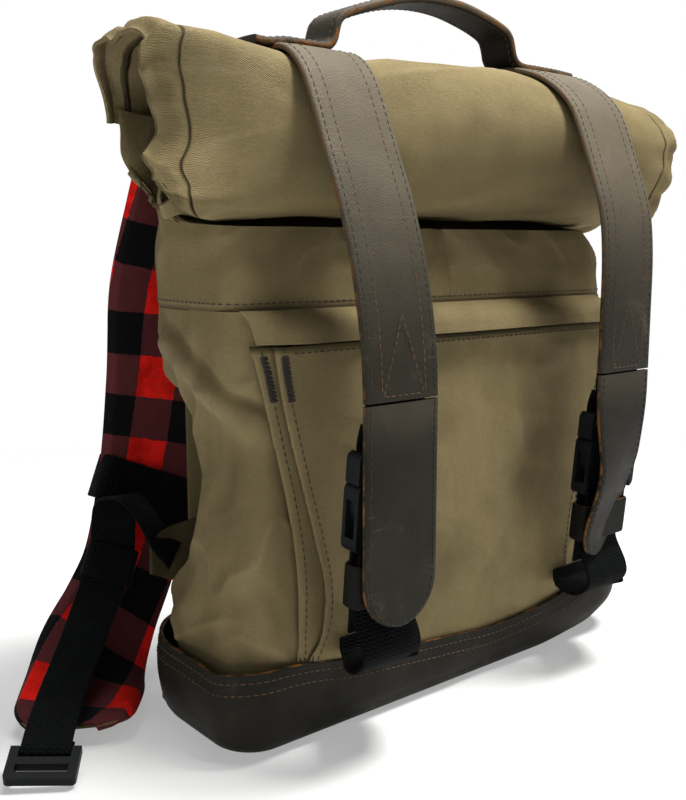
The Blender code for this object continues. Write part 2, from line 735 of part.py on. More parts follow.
def pad_route(side):
    """Stations of a shoulder strap from its top seam down, on the face that its lining covers.

    Each point is a share of the bag's half width, a distance behind the top seam and a share of the
    strap's height, with the direction of the strap's width there.
    """
    seam = BODY_HALF_DEPTH + CLEAR + LEATHER + LINING + 3 * CLEAR
    if side == "right":
        points = [(0.667, 0, 1), (0.667, 0.016, 0.913), (0.70, 0.036, 0.753), (0.695, 0.044, 0.561),
                  (0.68, 0.042, 0.369), (0.667, 0.036, 0.186)]
        sides = [X_AXIS] * len(points)
    else:
        points = [(-0.667, 0, 1), (-0.667, 0.0144, 0.913), (-0.707, 0.028, 0.753), (-0.727, 0.031, 0.577),
                  (-0.78, 0.029, 0.401), (-0.88, 0.024, 0.240), (-1.0, 0.018, 0.147), (-1.113, 0.008, 0.093),
                  (-1.21, -0.007, 0.066), (-1.367, -0.033, 0.042)]
        sides = [(1, 0, 0), (1, 0, 0), (1, 0, 0), (0.99, 0, -0.1), (0.96, 0, -0.28), (0.88, 0.03, -0.47),
                 (0.86, -0.05, -0.5), (0.85, -0.31, -0.42), (0.69, -0.69, -0.24), (0.32, -0.95, 0)]
    centres = [(x * BASE_WIDTH / 2, seam + y, z * PAD_TOP_HEIGHT) for x, y, z in points]
    return path_frames(smooth_path(centres, PAD_STEPS), smooth_path(sides, PAD_STEPS))


def pad_ring(frame):
    """Section of a shoulder pad: flat against its lining, crowned on its outer side."""
    centre, side, normal, _ = frame
    half = PAD_WIDTH / 2
    shape = [(a, 0.0) for a in PAD_FLAT] + list(PAD_CROWN)
    return [centre + side * half * a + normal * PAD_THICKNESS * b for a, b in shape]


def lining_ring(frame):
    """Section of a pad's lining, close over the pad's flat side."""
    centre, side, normal, _ = frame
    half = PAD_WIDTH / 2
    shape = [(a, -CLEAR) for a in PAD_FLAT] + [(a, -CLEAR - LINING) for a in reversed(PAD_FLAT)]
    return [centre + side * half * a + normal * b for a, b in shape]


def make_shoulder_strap(side):
    """Padded strap with its lining, the band across it, the adjuster webbing, its tail and its lock."""
    sign = -1 if side == "left" else 1
    route = pad_route(side)
    top = route[0]
    inner = LINING + 2 * CLEAR
    hinge = top[0] - top[2] * inner
    pad = [pad_ring(frame) for frame in route]
    add_loft(side + "_shoulder_pad", pad, "canvas", hinge, split=True)
    lining = [lining_ring(frame) for frame in route]
    add_loft(side + "_strap_lining", lining, "plaid", hinge, split=True)

    place = min(range(len(route)), key=lambda i: abs(route[i][0].z - BAND_HEIGHT))
    lift = (PAD_THICKNESS - LINING - CLEAR) / 2
    band = [(f[0] + f[2] * lift, *f[1:]) for f in route[place - 1:place + 2]]
    room = PAD_THICKNESS + LINING + 5 * CLEAR
    add_sleeve(side + "_pad_band", band, PAD_WIDTH + 4 * CLEAR, room, WEBBING, "webbing")

    middle, across, normal, along = band[1]
    face = room / 2 + WEBBING + CLEAR + WEBBING / 2
    start = middle - normal * face + across * sign * PAD_WIDTH * TAIL_PLACE
    tail_points, tail_sides = tail_route(side, start, across, normal, along)
    frames = path_frames(smooth_path(tail_points, 3), smooth_path(tail_sides, 3))
    place = len(frames) // 3 + 1
    inside = ADJUSTER_WIDTH + 2 * CLEAR
    room = WEBBING + 4 * CLEAR
    add_sleeve(side + "_tail_keeper", frames[place - 1:place + 2], inside, room, WEBBING, "webbing")

    end, end_side, end_normal, end_along = frames[-1]
    lock = frame_matrix(end + end_normal * WRAP_RADIUS, end_side, end_normal, end_along)
    turn = arc((0.0, 0.0), WRAP_RADIUS, 180, 0, 8)[1:] + [(WRAP_RADIUS, -TAIL_LAP)]
    centres = [frame[0] for frame in frames] + [lock @ Vector((0, y, z)) for y, z in turn]
    sides = [frame[1] for frame in frames] + [end_side] * len(turn)
    frames = path_frames(centres, sides)
    widths = [ADJUSTER_WIDTH] * len(frames)
    half = WEBBING / 2
    add_strip(side + "_strap_tail", frames, widths, -half, half, "webbing", hinge, split=True)
    make_lock(side, lock)

    edge = PAD_WIDTH / 2 + 2 * CLEAR + WEBBING + 2 * CLEAR + half
    side_face = middle + across * sign * edge
    make_wing(side, sign, side_face, across * sign)


def body_half_width(z):
    """Half width of the body's panels at a height, along their straight facets."""
    rows = body_heights()
    upper = next(i for i, height in enumerate(rows) if height >= z)
    low, high = rows[upper - 1], rows[upper]
    share = (z - low) / (high - low)
    pinch = waist(low) * (1 - share) + waist(high) * share
    return BODY_HALF_WIDTH - WAIST_PINCH * pinch


def make_wing(side, sign, side_face, away):
    """Canvas wing in the back seam, and the adjuster webbing from it to the band."""
    seam_y = BODY_HALF_DEPTH - BODY_CORNER
    top = WING_BOTTOM + WING_HEIGHT
    inner = [WING_BOTTOM] + [z for z in body_heights() if WING_BOTTOM < z < top] + [top]
    outline = [(sign * (body_half_width(z) + CLEAR), z) for z in inner]
    tip_x = sign * (BODY_HALF_WIDTH + WING_REACH)
    tip_z = WING_BOTTOM + WING_HEIGHT * WING_TIP_PLACE
    half = ADJUSTER_WIDTH / 2
    outline += [(tip_x, tip_z + half), (tip_x, tip_z - half)]
    frame = Matrix.Translation((0, seam_y, 0))
    add_prism(side + "_side_wing", outline, -CANVAS / 2, CANVAS / 2, frame, "canvas")

    tip = Vector((tip_x + sign * CLEAR, seam_y, tip_z))
    out = Vector((sign, 0, 0))
    leave = tip - side_face
    leave = (leave - away * leave.dot(away)).normalized()
    lap_side = leave.cross(away) * sign
    points = [
        side_face,
        side_face + leave * BAND_WIDTH / 2 + away * WEBBING_FLARE,
        tip + out * WING_REACH * WING_TURN + Vector((0, BAND_WIDTH / 2, 0)),
        tip + out * WING_REACH * WING_TURN / 2,
        tip,
    ]
    up = Vector((0, 0, 1))
    sides = [lap_side, lap_side, up, up, up]
    frames = path_frames(smooth_path(points, 3), smooth_path(sides, 3))
    widths = [ADJUSTER_WIDTH] * len(frames)
    add_strip(side + "_adjuster_webbing", frames, widths, -WEBBING / 2, WEBBING / 2, "webbing")


def tail_route(side, start, across, normal, along):
    """The loose end of the adjuster webbing, from the band down to its lock."""
    leave = start + along * TAIL_START - normal * WEBBING
    if side == "left":
        points = [start, leave, (-0.153, 0.064, 0.080), (-0.180, 0.051, 0.048),
                  (-0.204, 0.030, 0.027), (-0.216, 0.016, 0.019), (-0.224, 0.005, 0.014)]
        sides = [across, across, (0.90, -0.38, -0.2), (0.76, -0.64, -0.1), (0.72, -0.68, -0.1),
                 (0.72, -0.68, -0.1), (0.72, -0.68, -0.1)]
    else:
        points = [start, leave, start + Vector((0.004, -0.006, -0.050)),
                  start + Vector((0.006, -0.008, -0.085))]
        sides = [across] * len(points)
    return [Vector(p) for p in points], [Vector(s) for s in sides]


def make_lock(side, frame):
    """Ladder lock at the end of the webbing: a flat frame with two slots, hung by its first bar."""
    slot_half = ADJUSTER_WIDTH / 2 + CLEAR
    half = slot_half + LOCK_WALL
    deep = LOCK_THICKNESS / 2
    start = -BAR / 2
    length = BAR + 2 * SLOT + 2 * LOCK_WALL
    corner = LOCK_WALL / 2
    outline = [(-half, start), (half, start)]
    outline += arc((half - corner, start + length - corner), corner, 0, 90, 3)
    outline += arc((corner - half, start + length - corner), corner, 90, 180, 3)
    lock = add_prism(side + "_ladder_lock", outline, -deep, deep, frame, "plastic")
    past = 2 * deep
    second = BAR / 2 + SLOT + LOCK_WALL
    cuts = {
        "slot": ((-slot_half, -past, BAR / 2), (slot_half, past, BAR / 2 + SLOT)),
        "second_slot": ((-slot_half, -past, second), (slot_half, past, second + SLOT)),
        "bar_front": ((-slot_half, -past, start - past), (slot_half, start, BAR)),
        "bar_back": ((-slot_half, BAR / 2, start - past), (slot_half, past, BAR)),
    }
    for key, (low, high) in cuts.items():
        shape_with(lock, add_box_tool(side + "_lock_" + key, low, high, frame))


def main():
    """Build every piece of the backpack."""
    clear_scene()
    make_base()
    make_body()
    make_collar()
    make_roll()
    make_pocket()
    make_handle()
    make_back_pad()
    for side, x in (("left", -STRAP_X), ("right", STRAP_X)):
        make_closure_strap(side, x)
        make_closure_webbing(side, x)
        make_buckle(side, x)
        make_shoulder_strap(side)


main()
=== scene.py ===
"""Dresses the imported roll-top backpack in waxed canvas, oiled leather, webbing and plaid."""

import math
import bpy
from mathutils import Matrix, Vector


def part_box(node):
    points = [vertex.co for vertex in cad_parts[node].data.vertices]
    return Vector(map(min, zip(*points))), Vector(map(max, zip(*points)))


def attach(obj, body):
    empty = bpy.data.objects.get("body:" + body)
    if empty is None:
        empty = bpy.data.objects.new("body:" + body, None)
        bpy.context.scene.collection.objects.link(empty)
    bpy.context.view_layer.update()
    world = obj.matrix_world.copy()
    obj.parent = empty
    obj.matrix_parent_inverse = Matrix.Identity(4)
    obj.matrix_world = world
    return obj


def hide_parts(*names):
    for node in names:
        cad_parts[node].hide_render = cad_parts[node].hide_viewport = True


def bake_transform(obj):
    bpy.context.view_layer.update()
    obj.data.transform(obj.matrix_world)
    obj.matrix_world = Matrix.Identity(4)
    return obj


bl_info = {
    "name": "Roll-top backpack",
    "version": (1, 0, 0),
    "blender": (4, 5, 0),
    "location": "View3D > Sidebar > Backpack",
    "description": "Builds the visible pieces of a canvas roll-top backpack over its packed frame",
    "category": "Object",
}

import bpy
import numpy as np
from mathutils import Vector

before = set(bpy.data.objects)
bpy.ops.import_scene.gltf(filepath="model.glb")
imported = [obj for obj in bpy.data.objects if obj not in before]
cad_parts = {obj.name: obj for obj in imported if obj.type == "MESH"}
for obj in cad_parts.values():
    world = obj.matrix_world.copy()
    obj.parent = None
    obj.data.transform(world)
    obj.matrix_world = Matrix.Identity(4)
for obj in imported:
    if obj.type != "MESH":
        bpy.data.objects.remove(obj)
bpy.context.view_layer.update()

SIDES = (("left", -1), ("right", 1))

# Body of the bag, as in the frame
BASE_HALF_WIDTH = 0.150
BASE_HALF_DEPTH = 0.055
BODY_HALF_WIDTH = 0.1472
BODY_HALF_DEPTH = 0.0522
BODY_CORNER = 0.0202
BACK_CORNER = 0.052
RIM_HEIGHT = 0.050
POCKET_LOW = 0.0443
POCKET_HIGH = 0.2140
POCKET_FOOT = 0.0300
POCKET_MOUTH = 0.2120
SEAM_HEIGHT = 0.229
CANVAS = 0.0016

# Rolled top
ROLL_CENTRE = (-0.025, 0.314)
ROLL_HALF = (0.068, 0.0475)
ROLL_STEP = (0.0135, 0.0115)
ROLL_LENGTH = 0.352
ROLL_OUTER = 0.0024
ROLL_START = 8.0
ROLL_END = 828.0

# Closure straps and the webbing behind them
STRAP_X = 0.088
STRAP_WIDTH = 0.047
STRAP_THICKNESS = 0.0034
STRAP_CROWN = 0.0004
STRAP_FRONT = -0.10515
STRAP_STEP = 0.188
TAB_LENGTH = 0.110
TAB_SLIT = 0.0011
STRAP_FALL = {
    "left": ((-0.0435, 0.3540), (-0.0515, 0.3495), (-0.0585, 0.3420), (-0.0640, 0.3325),
             (-0.0690, 0.3215), (-0.0755, 0.3060), (-0.0860, 0.2820), (-0.0950, 0.2550),
             (-0.1008, 0.2300), (-0.1040, 0.2080)),
    "right": ((-0.0450, 0.3606), (-0.0562, 0.3562), (-0.0682, 0.3485), (-0.0780, 0.3385),
              (-0.0845, 0.3260), (-0.0905, 0.3110), (-0.0975, 0.2930), (-0.1025, 0.2760),
              (-0.1049, 0.2520), (-0.10515, 0.2200)),
}
LINE_START = (-0.087, 0.0465)
LINE_UP = (-0.090694, 0.995879)
WEBBING_WIDTH = 0.038
WEBBING = 0.0018
WRAP_RADIUS = 0.0028971
LAYERS_APART = 0.00105
BUCKLE_LOW = 0.069
RECEIVER_LENGTH = 0.034
PLUG_LENGTH = 0.015
PLUG_GAP = 0.0003
BAR_INSET = 0.0012
LINE_LENGTH = 0.149

# Shoulder straps
PAD_WIDTH = 0.064
PAD_THICKNESS = 0.009
PAD_TOP = (0.0576, 0.312)
ADJUSTER_WIDTH = 0.025
ARCH_END = (-0.1535, 0.0665, 0.0990)
BAND_HEIGHT = {"left": 0.113, "right": 0.122}
BAND_SLANT = {"left": 0.16, "right": 0.0}
BAND_MIDDLE = 0.00375
TAIL_KEEPER_PLACE = {"left": 0.15, "right": 0.44}
WING_ROOT = {"left": -0.116, "right": 0.138}

# Bands round a strap: half width, half depth, length along the strap and thickness
WEBBING_KEEPER = (0.0203, 0.0053, 0.022, 0.0025)
PAD_BAND = (0.0335, 0.0068, 0.026, WEBBING)
TAIL_KEEPER = (0.0137, 0.0029, 0.021, 0.0016)

# Fine details
CORNER_REACH = 0.8
CREASE_MEAN = 0.35
FLAP_ROOT = -0.0534
HANDLE_WIDTH = 0.026
HANDLE_THICKNESS = 0.0045
TWILL_PITCH = 0.0022

# Camera of the photograph, and the floor
CAMERA_PLACE = (-0.4016, -0.4422, 0.2596)
CAMERA_YAW = 39.5
CAMERA_PITCH = 8.859
FOCAL_PIXELS = 988
PHOTO_WIDTH = 686
SENSOR_WIDTH = 36.0
FLOOR_SIZE = 12.0
FLOOR_DROP = 0.0006


def value_noise(points, seed):
    """Smooth noise between 0 and 1 at points whose cells are one unit wide."""
    cell = np.floor(points).astype(np.int64)
    part = points - cell
    part = part * part * part * (part * (part * 6 - 15) + 10)
    total = np.zeros(len(points))
    for corner in range(8):
        step = np.array([corner & 1, corner >> 1 & 1, corner >> 2 & 1])
        place = cell + step
        mix = place[:, 0] * 73856093 ^ place[:, 1] * 19349663 ^ place[:, 2] * 83492791 ^ seed * 40503
        mix = (mix ^ mix >> 13) * 1274126177 & 0xFFFFFFFF
        value = ((mix ^ mix >> 16) & 0xFFFF) / 65535
        total += value * np.prod(np.where(step, part, 1 - part), axis=1)
    return total


def ripple(points, size, seed, octaves=3):
    """Noise between about -1 and 1, with cells of a size in metres along each axis."""
    points = np.asarray(points, dtype=float).reshape(-1, 3) / np.asarray(size, dtype=float)
    total = np.zeros(len(points))
    strength = 1.0
    for octave in range(octaves):
        total += strength * (value_noise(points * 2 ** octave, seed + octave) * 2 - 1)
        strength *= 0.5
    return total


def crease(points, size, seed):
    """Sharp folds between flat patches: high on a fold, under 0 away from it."""
    return (1 - np.abs(ripple(points, size, seed, 2))).clip(0, 1) ** 3 - CREASE_MEAN


def ease(value):
    """Ease from 0 to 1."""
    value = np.clip(value, 0, 1)
    return value * value * (3 - 2 * value)


def bump(value, centre, width):
    """A soft hill of height 1."""
    return np.exp(-((value - centre) / width) ** 2)


def smooth_path(points, count):
    """A smooth curve through points, as evenly spaced points."""
    points = np.asarray(points, dtype=float)
    padded = np.vstack([points[0] * 2 - points[1], points, points[-1] * 2 - points[-2]])
    fine = []
    for i in range(len(points) - 1):
        a, b, c, d = padded[i:i + 4]
        for t in np.linspace(0, 1, 24, endpoint=False):
            fine.append(0.5 * (2 * b + (c - a) * t + (2 * a - 5 * b + 4 * c - d) * t ** 2
                               + (3 * b - a - 3 * c + d) * t ** 3))
    fine.append(points[-1])
    return respace(np.array(fine), count)


def run_along(line):
    """The distance along a line, at each of its points."""
    steps = np.linalg.norm(np.diff(line, axis=0), axis=1)
    return np.concatenate([[0], np.cumsum(steps)])


def columns(*parts):
    """Points from their coordinates, each of them one number or a row of numbers."""
    return np.stack(np.broadcast_arrays(*parts), axis=-1)


def respace(points, count):
    """The same line with evenly spaced points."""
    run = run_along(points)
    places = np.linspace(0, run[-1], count)
    return np.stack([np.interp(places, run, points[:, k]) for k in range(points.shape[1])], axis=1)


def unit(vectors):
    """Vectors at length 1."""
    return vectors / np.maximum(np.linalg.norm(vectors, axis=-1, keepdims=True), 1e-12)


def soften(line, width=9):
    """A line with each point moved to the mean of its neighbours, its ends kept."""
    reach = width // 2
    padded = np.vstack([line[:1] * 2 - line[reach:0:-1], line, line[-1:] * 2 - line[-2:-reach - 2:-1]])
    return np.stack([padded[k:k + len(line)] for k in range(2 * reach + 1)]).mean(axis=0)


class Route:
    """A path with its width direction and outer normal at each point."""

    def __init__(self, centres, sides):
        self.centre = np.asarray(centres, dtype=float)
        self.along = unit(np.gradient(self.centre, axis=0))
        sides = np.broadcast_to(np.asarray(sides, dtype=float), self.centre.shape)
        dot = np.sum(sides * self.along, axis=1, keepdims=True)
        self.side = unit(sides - self.along * dot)
        self.normal = np.cross(self.side, self.along)
        self.run = run_along(self.centre)

    def at(self, across, above):
        """Points beside the path: so far across it and so far above it, at each station."""
        across = np.broadcast_to(across, len(self.centre))[:, None]
        above = np.broadcast_to(above, len(self.centre))[:, None]
        return self.centre + self.side * across + self.normal * above


def turning_route(points, sides, count):
    """A smooth route through points, with its width direction turning from one to the next."""
    both = np.hstack([np.array(points, dtype=float), np.array(sides, dtype=float) * 0.001])
    line = smooth_path(both, count)
    return Route(line[:, :3], line[:, 3:] * 1000)


def select_only(obj):
    """Make one object active and selected, and no other."""
    bpy.ops.object.select_all(action="DESELECT")
    obj.select_set(True)
    bpy.context.view_layer.objects.active = obj


def apply_modifier(obj, kind, **settings):
    """Add a modifier, set it and apply it."""
    select_only(obj)
    modifier = obj.modifiers.new(kind.lower(), kind)
    for key, value in settings.items():
        setattr(modifier, key, value)
    bpy.ops.object.modifier_apply(modifier=modifier.name)


def lay_cloth(name, points, closed=False, ring=False, caps=False, thickness=0.0, marks=None, uv=None):
    """Lay a grid over rows of points, with a UV map in metres.

    Closed joins each row's ends, ring joins the first row to the last, caps fills the open ends and
    thickness gives a wall. Marks are named values, one for each point, kept for the materials.
    """
    points = np.asarray(points, dtype=float)
    tall, wide = points.shape[:2]
    bpy.ops.object.select_all(action="DESELECT")
    bpy.ops.mesh.primitive_grid_add(
        x_subdivisions=wide - 1, y_subdivisions=tall - 1, size=1.0, calc_uvs=True)
    obj = bpy.context.object
    obj.name = name
    mesh = obj.data
    mesh.name = name
    flat = np.empty(len(mesh.vertices) * 3)
    mesh.vertices.foreach_get("co", flat)
    flat = flat.reshape(-1, 3)
    i = np.rint((flat[:, 0] + 0.5) * (wide - 1)).astype(int)
    j = np.rint((flat[:, 1] + 0.5) * (tall - 1)).astype(int)
    if uv is None:
        across = run_along(points[tall // 2])
        steps = np.linalg.norm(np.diff(points, axis=0), axis=2).mean(axis=1)
        along = np.concatenate([[0], np.cumsum(steps)])
        uv = np.stack(np.meshgrid(across, along), axis=2)
    corner = np.empty(len(mesh.loops), dtype=int)
    mesh.loops.foreach_get("vertex_index", corner)
    mesh.uv_layers.active.data.foreach_set("uv", uv[j[corner], i[corner]].ravel())
    for key, values in (marks or {}).items():
        mark = mesh.attributes.new(key, "FLOAT", "POINT")
        mark.data.foreach_set("value", np.asarray(values, dtype=float)[j, i])
    mesh.vertices.foreach_set("co", points[j, i].ravel())
    mesh.update()
    if closed or ring or caps:
        select_only(obj)
        bpy.ops.object.mode_set(mode="EDIT")
        bpy.ops.mesh.select_all(action="SELECT")
        if closed or ring:
            bpy.ops.mesh.remove_doubles(threshold=0.000001)
        if caps:
            bpy.ops.mesh.select_all(action="SELECT")
            bpy.ops.mesh.fill_holes(sides=0)
        bpy.ops.object.mode_set(mode="OBJECT")
    if thickness:
        apply_modifier(obj, "SOLIDIFY", thickness=thickness, offset=-1, use_even_offset=False)
    face_outward(obj)
    bpy.ops.object.shade_smooth_by_angle(angle=math.radians(50))
    return obj


def face_outward(obj):
    """Turn every face of a closed piece outward."""
    select_only(obj)
    bpy.ops.object.mode_set(mode="EDIT")
    bpy.ops.mesh.select_all(action="SELECT")
    bpy.ops.mesh.normals_make_consistent(inside=False)
    bpy.ops.object.mode_set(mode="OBJECT")


def strap_section(width, thickness, crown=0.0, steps=8):
    """Section of a strap: across, above and edge values, with rounded edges and a closing point."""
    half = width / 2
    deep = thickness / 2
    flat = np.linspace(-1, 1, steps)
    angles = np.radians(np.linspace(-90, 90, 7)[1:-1])
    out = np.cos(angles)
    rise = deep * np.sin(angles)
    level = flat * (half - deep)
    across = [level, half - deep + deep * out, level[::-1], -half + deep - deep * out[::-1]]
    above = [np.full(steps, -deep), rise, deep + crown * (1 - flat * flat), rise[::-1]]
    edge = [0 * flat, out, 0 * flat, out[::-1]]
    return [np.concatenate([*values, values[0][:1]]) for values in (across, above, edge)]


def cut_strap(name, route, width, thickness, crown=0.0, widths=None, ring=False, wear_and_highlight=0.0):
    """A flat strap along a route, closed, with rounded edges that are marked for the raw edge's colour, an
    under face marked for painted shade, and a mark for paler wear and painted highlight.
    """
    across, above, edge = strap_section(width, thickness, crown)
    scale = np.ones(len(route.centre)) if widths is None else np.asarray(widths) / width
    rows = []
    for k in range(len(route.centre)):
        a = across * scale[k]
        rows.append(route.centre[k] + np.outer(a, route.side[k]) + np.outer(above, route.normal[k]))
    # The under face is marked for painted shade.
    under = (above < -thickness / 4).astype(float)
    count = len(route.centre)
    marks = {"edge": np.tile(edge, (count, 1)), "under": np.tile(under, (count, 1))}
    marks["wear_and_highlight"] = np.tile(np.broadcast_to(wear_and_highlight, count)[:, None], (1, len(across)))
    around = run_along(columns(across, above))
    uv = np.stack(np.meshgrid(around, route.run), axis=2)
    return lay_cloth(name, rows, closed=True, ring=ring, caps=not ring, marks=marks, uv=uv)


def wrap_band(name, centre, side, normal, along, half_width, half_depth, length, thickness):
    """A band of webbing or leather round a flat strap: a rounded loop as wide as its length."""
    radius = min(half_depth, 0.004)
    loop = np.array(rounded_loop(np.linspace(0, 1, 97), half_width, half_depth, radius, radius)).T
    points = centre + np.outer(loop[:, 0], side) + np.outer(loop[:, 1], normal)
    route = Route(points, along)
    route.along = unit(np.roll(points, -1, axis=0) - np.roll(points, 1, axis=0))
    route.along[0] = route.along[-1] = unit(points[1] - points[-2])
    route.side = np.tile(along, (len(points), 1))
    route.normal = np.cross(route.side, route.along)
    return cut_strap(name, route, length, thickness, ring=True)


def rounded_loop(share, half_width, half_depth, front_radius, back_radius):
    """X and Y on a rounded rectangle by share of its length: back, left side, front, right side, back."""
    quarter_front = math.pi / 2 * front_radius
    quarter_back = math.pi / 2 * back_radius
    back = half_width - back_radius
    side = 2 * half_depth - front_radius - back_radius
    front = 2 * (half_width - front_radius)
    lengths = [back, quarter_back, side, quarter_front, front, quarter_front, side, quarter_back, back]
    ends = np.cumsum(lengths)
    place = np.clip(np.asarray(share, dtype=float), 0, 1) * ends[-1]
    x = np.zeros_like(place)
    y = np.zeros_like(place)
    starts = ends - lengths
    for k in range(9):
        inside = (place >= starts[k]) & (place <= ends[k] + 1e-12)
        part = place[inside] - starts[k]
        if k == 0:
            x[inside], y[inside] = -part, half_depth
        elif k == 2:
            x[inside], y[inside] = -half_width, half_depth - back_radius - part
        elif k == 4:
            x[inside], y[inside] = -half_width + front_radius + part, -half_depth
        elif k == 6:
            x[inside], y[inside] = half_width, -half_depth + front_radius + part
        elif k == 8:
            x[inside], y[inside] = half_width - back_radius - part, half_depth
        else:
            radius = back_radius if k in (1, 7) else front_radius
            angle = {1: 90, 3: 180, 5: 270, 7: 0}[k]
            angle = math.radians(angle) + part / radius
            centre_x = (half_width - radius) * (-1 if k in (1, 3) else 1)
            centre_y = (half_depth - radius) * (1 if k in (1, 7) else -1)
            x[inside] = centre_x + radius * np.cos(angle)
            y[inside] = centre_y + radius * np.sin(angle)
    return x, y


def loop_normals(x, y):
    """Outer normals of an outline that runs as rounded_loop does."""
    tangent = unit(columns(np.gradient(x), np.gradient(y)))
    return tangent[:, 1], -tangent[:, 0]


def grid_normals(points):
    """Outer normals of a grid of points."""
    du = np.gradient(points, axis=1)
    dv = np.gradient(points, axis=0)
    return unit(np.cross(du, dv))


def sew(name, rows, body, thread, pitch=0.0040, length=0.0030, radius=0.00032):
    """Rows of stitches along lines of points with normals, as one piece on a body."""
    bpy.ops.object.select_all(action="DESELECT")
    bpy.ops.mesh.primitive_uv_sphere_add(segments=6, ring_count=4, radius=1.0)
    stitch = bpy.context.object
    shape = np.array([v.co for v in stitch.data.vertices])
    shape = shape[:, [2, 0, 1]] * (length / 2, radius, radius)
    faces = [tuple(p.vertices) for p in stitch.data.polygons]
    bpy.data.objects.remove(stitch, do_unlink=True)
    points = []
    polygons = []
    for line, normals in rows:
        line = np.asarray(line)
        run = run_along(line)
        places = np.arange(pitch / 2, run[-1], pitch)
        if not len(places):
            continue

        def read(values, at):
            return np.stack([np.interp(at, run, values[:, k]) for k in range(3)], axis=1)

        centre = read(line, places)
        along = unit(read(line, places + pitch / 4) - read(line, places - pitch / 4))
        up = unit(read(np.asarray(normals), places))
        side = unit(np.cross(up, along))
        up = np.cross(along, side)
        for k in range(len(places)):
            base = len(points) * len(shape)
            points.append(centre[k] + shape @ np.stack([along[k], side[k], up[k]]))
            polygons += [tuple(base + index for index in face) for face in faces]
    mesh = bpy.data.meshes.new(name)
    mesh.from_pydata(np.concatenate(points), [], polygons)
    obj = bpy.data.objects.new(name, mesh)
    bpy.context.scene.collection.objects.link(obj)
    mesh.shade_smooth()
    finish_piece(obj, body, thread)
    return obj


def coat(obj, material):
    """Give a piece one material, by its name in the library."""
    obj.data.materials.clear()
    obj.data.materials.append(FinishLibrary.get(material))


def finish_piece(obj, body, material, nodes=()):
    """Give a piece its material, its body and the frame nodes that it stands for."""
    coat(obj, material)
    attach(obj, body)
    if nodes:
        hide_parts(*nodes)


def cut_cloth(points):
    """Takes a piece's grid of points and does nothing with it."""
    points = np.asarray(points)


class Socket:
    """A shader socket that Python's operators work on."""

    def __init__(self, finish, socket):
        self.finish = finish
        self.socket = socket

    def math(self, operation, other=None, third=None):
        """This value and others through one Math node."""
        values = {0: self}
        if other is not None:
            values[1] = other
        if third is not None:
            values[2] = third
        return self.finish.add("ShaderNodeMath", {"operation": operation}, values)

    def __add__(self, other):
        return self.math("ADD", other)

    __radd__ = __add__

    def __mul__(self, other):
        return self.math("MULTIPLY", other)

    __rmul__ = __mul__

    def __sub__(self, other):
        return self.math("SUBTRACT", other)

    def __rsub__(self, other):
        return (self * -1) + other

    def sine(self):
        """Sine of the value."""
        return self.math("SINE")

    def wrapped(self, size):
        """The value within 0 and a size, repeating."""
        return self.math("WRAP", size, 0.0)

    def over(self, limit):
        """1 above a limit, 0 under it."""
        return self.math("GREATER_THAN", limit)

    def clamped(self):
        """The value kept within 0 and 1."""
        return self.finish.add("ShaderNodeClamp", {}, {"Value": self})

    def ramp(self, low, high):
        """0 under low, 1 over high, a smooth step between them."""
        settings = {"interpolation_type": "SMOOTHSTEP"}
        return self.finish.add("ShaderNodeMapRange", settings, {"Value": self, 1: low, 2: high})


class Graph:
    """A tree of shader nodes that is built from expressions on sockets."""

    def __init__(self, tree):
        self.nodes = tree.nodes
        self.links = tree.links

    def add(self, kind, settings, values, out=0):
        """Add a node, with its settings first and then the values or links of its sockets."""
        node = self.nodes.new(kind)
        for key, value in settings.items():
            setattr(node, key, value)
        for key, value in values.items():
            self.join(node.inputs[key], value)
        return Socket(self, node.outputs[out])

    def join(self, target, value):
        """Link a socket to an input, or set the input's own value."""
        if isinstance(value, Socket):
            self.links.new(value.socket, target)
        else:
            target.default_value = value

    def seen(self):
        """1 on the rays that show the background: from the camera, off gloss and through glass."""
        camera = self.add("ShaderNodeLightPath", {}, {}, "Is Camera Ray")
        glossy = self.add("ShaderNodeLightPath", {}, {}, "Is Glossy Ray")
        through = self.add("ShaderNodeLightPath", {}, {}, "Is Transmission Ray")
        return camera + glossy + through


class Finish(Graph):
    """A material with one principled shader."""

    def __init__(self, name):
        self.material = bpy.data.materials.new(name)
        self.material.use_nodes = True
        super().__init__(self.material.node_tree)
        self.shader = self.nodes["Principled BSDF"]

    def place(self, output="Object", stretch=(1, 1, 1), turn=0.0):
        """Coordinates of the surface, stretched and turned."""
        place = self.add("ShaderNodeTexCoord", {}, {}, output)
        values = {"Vector": place, "Scale": stretch, "Rotation": (0, 0, turn)}
        return self.add("ShaderNodeMapping", {}, values)

    def split(self, place):
        """The two directions of a place on the surface."""
        node = self.nodes.new("ShaderNodeSeparateXYZ")
        self.links.new(place.socket, node.inputs[0])
        return Socket(self, node.outputs[0]), Socket(self, node.outputs[1])

    def noise(self, place, scale, detail=3.0, roughness=0.55, distortion=0.0):
        """Noise between 0 and 1."""
        values = {"Vector": place, "Scale": scale, "Detail": detail, "Roughness": roughness,
                  "Distortion": distortion}
        return self.add("ShaderNodeTexNoise", {}, values)

    def mark(self, name):
        """A value that the piece's points carry."""
        return self.add("ShaderNodeAttribute", {"attribute_name": name}, {}, "Fac")

    def mix(self, factor, low, high):
        """A colour between two colours."""
        settings = {"data_type": "RGBA"}
        return self.add("ShaderNodeMix", settings, {0: factor, 6: tint(low), 7: tint(high)}, 2)

    def relief(self, height, distance, strength=1.0):
        """A bump of a height in metres on the surface."""
        values = {"Height": height, "Distance": distance, "Strength": strength}
        self.join(self.shader.inputs["Normal"], self.add("ShaderNodeBump", {}, values))

    def surface(self, **values):
        """Set the shader's inputs, by their names with underscores."""
        for key, value in values.items():
            name = key.replace("_", " ").title().replace("Ior", "IOR")
            self.join(self.shader.inputs[name], value)
        return self.material


def tint(color):
    """A colour with its alpha, or a socket as it is."""
    return color if isinstance(color, Socket) else (*color[:3], 1.0)


def darker(color, share):
    """A colour times a number."""
    return tuple(c * share for c in color[:3])


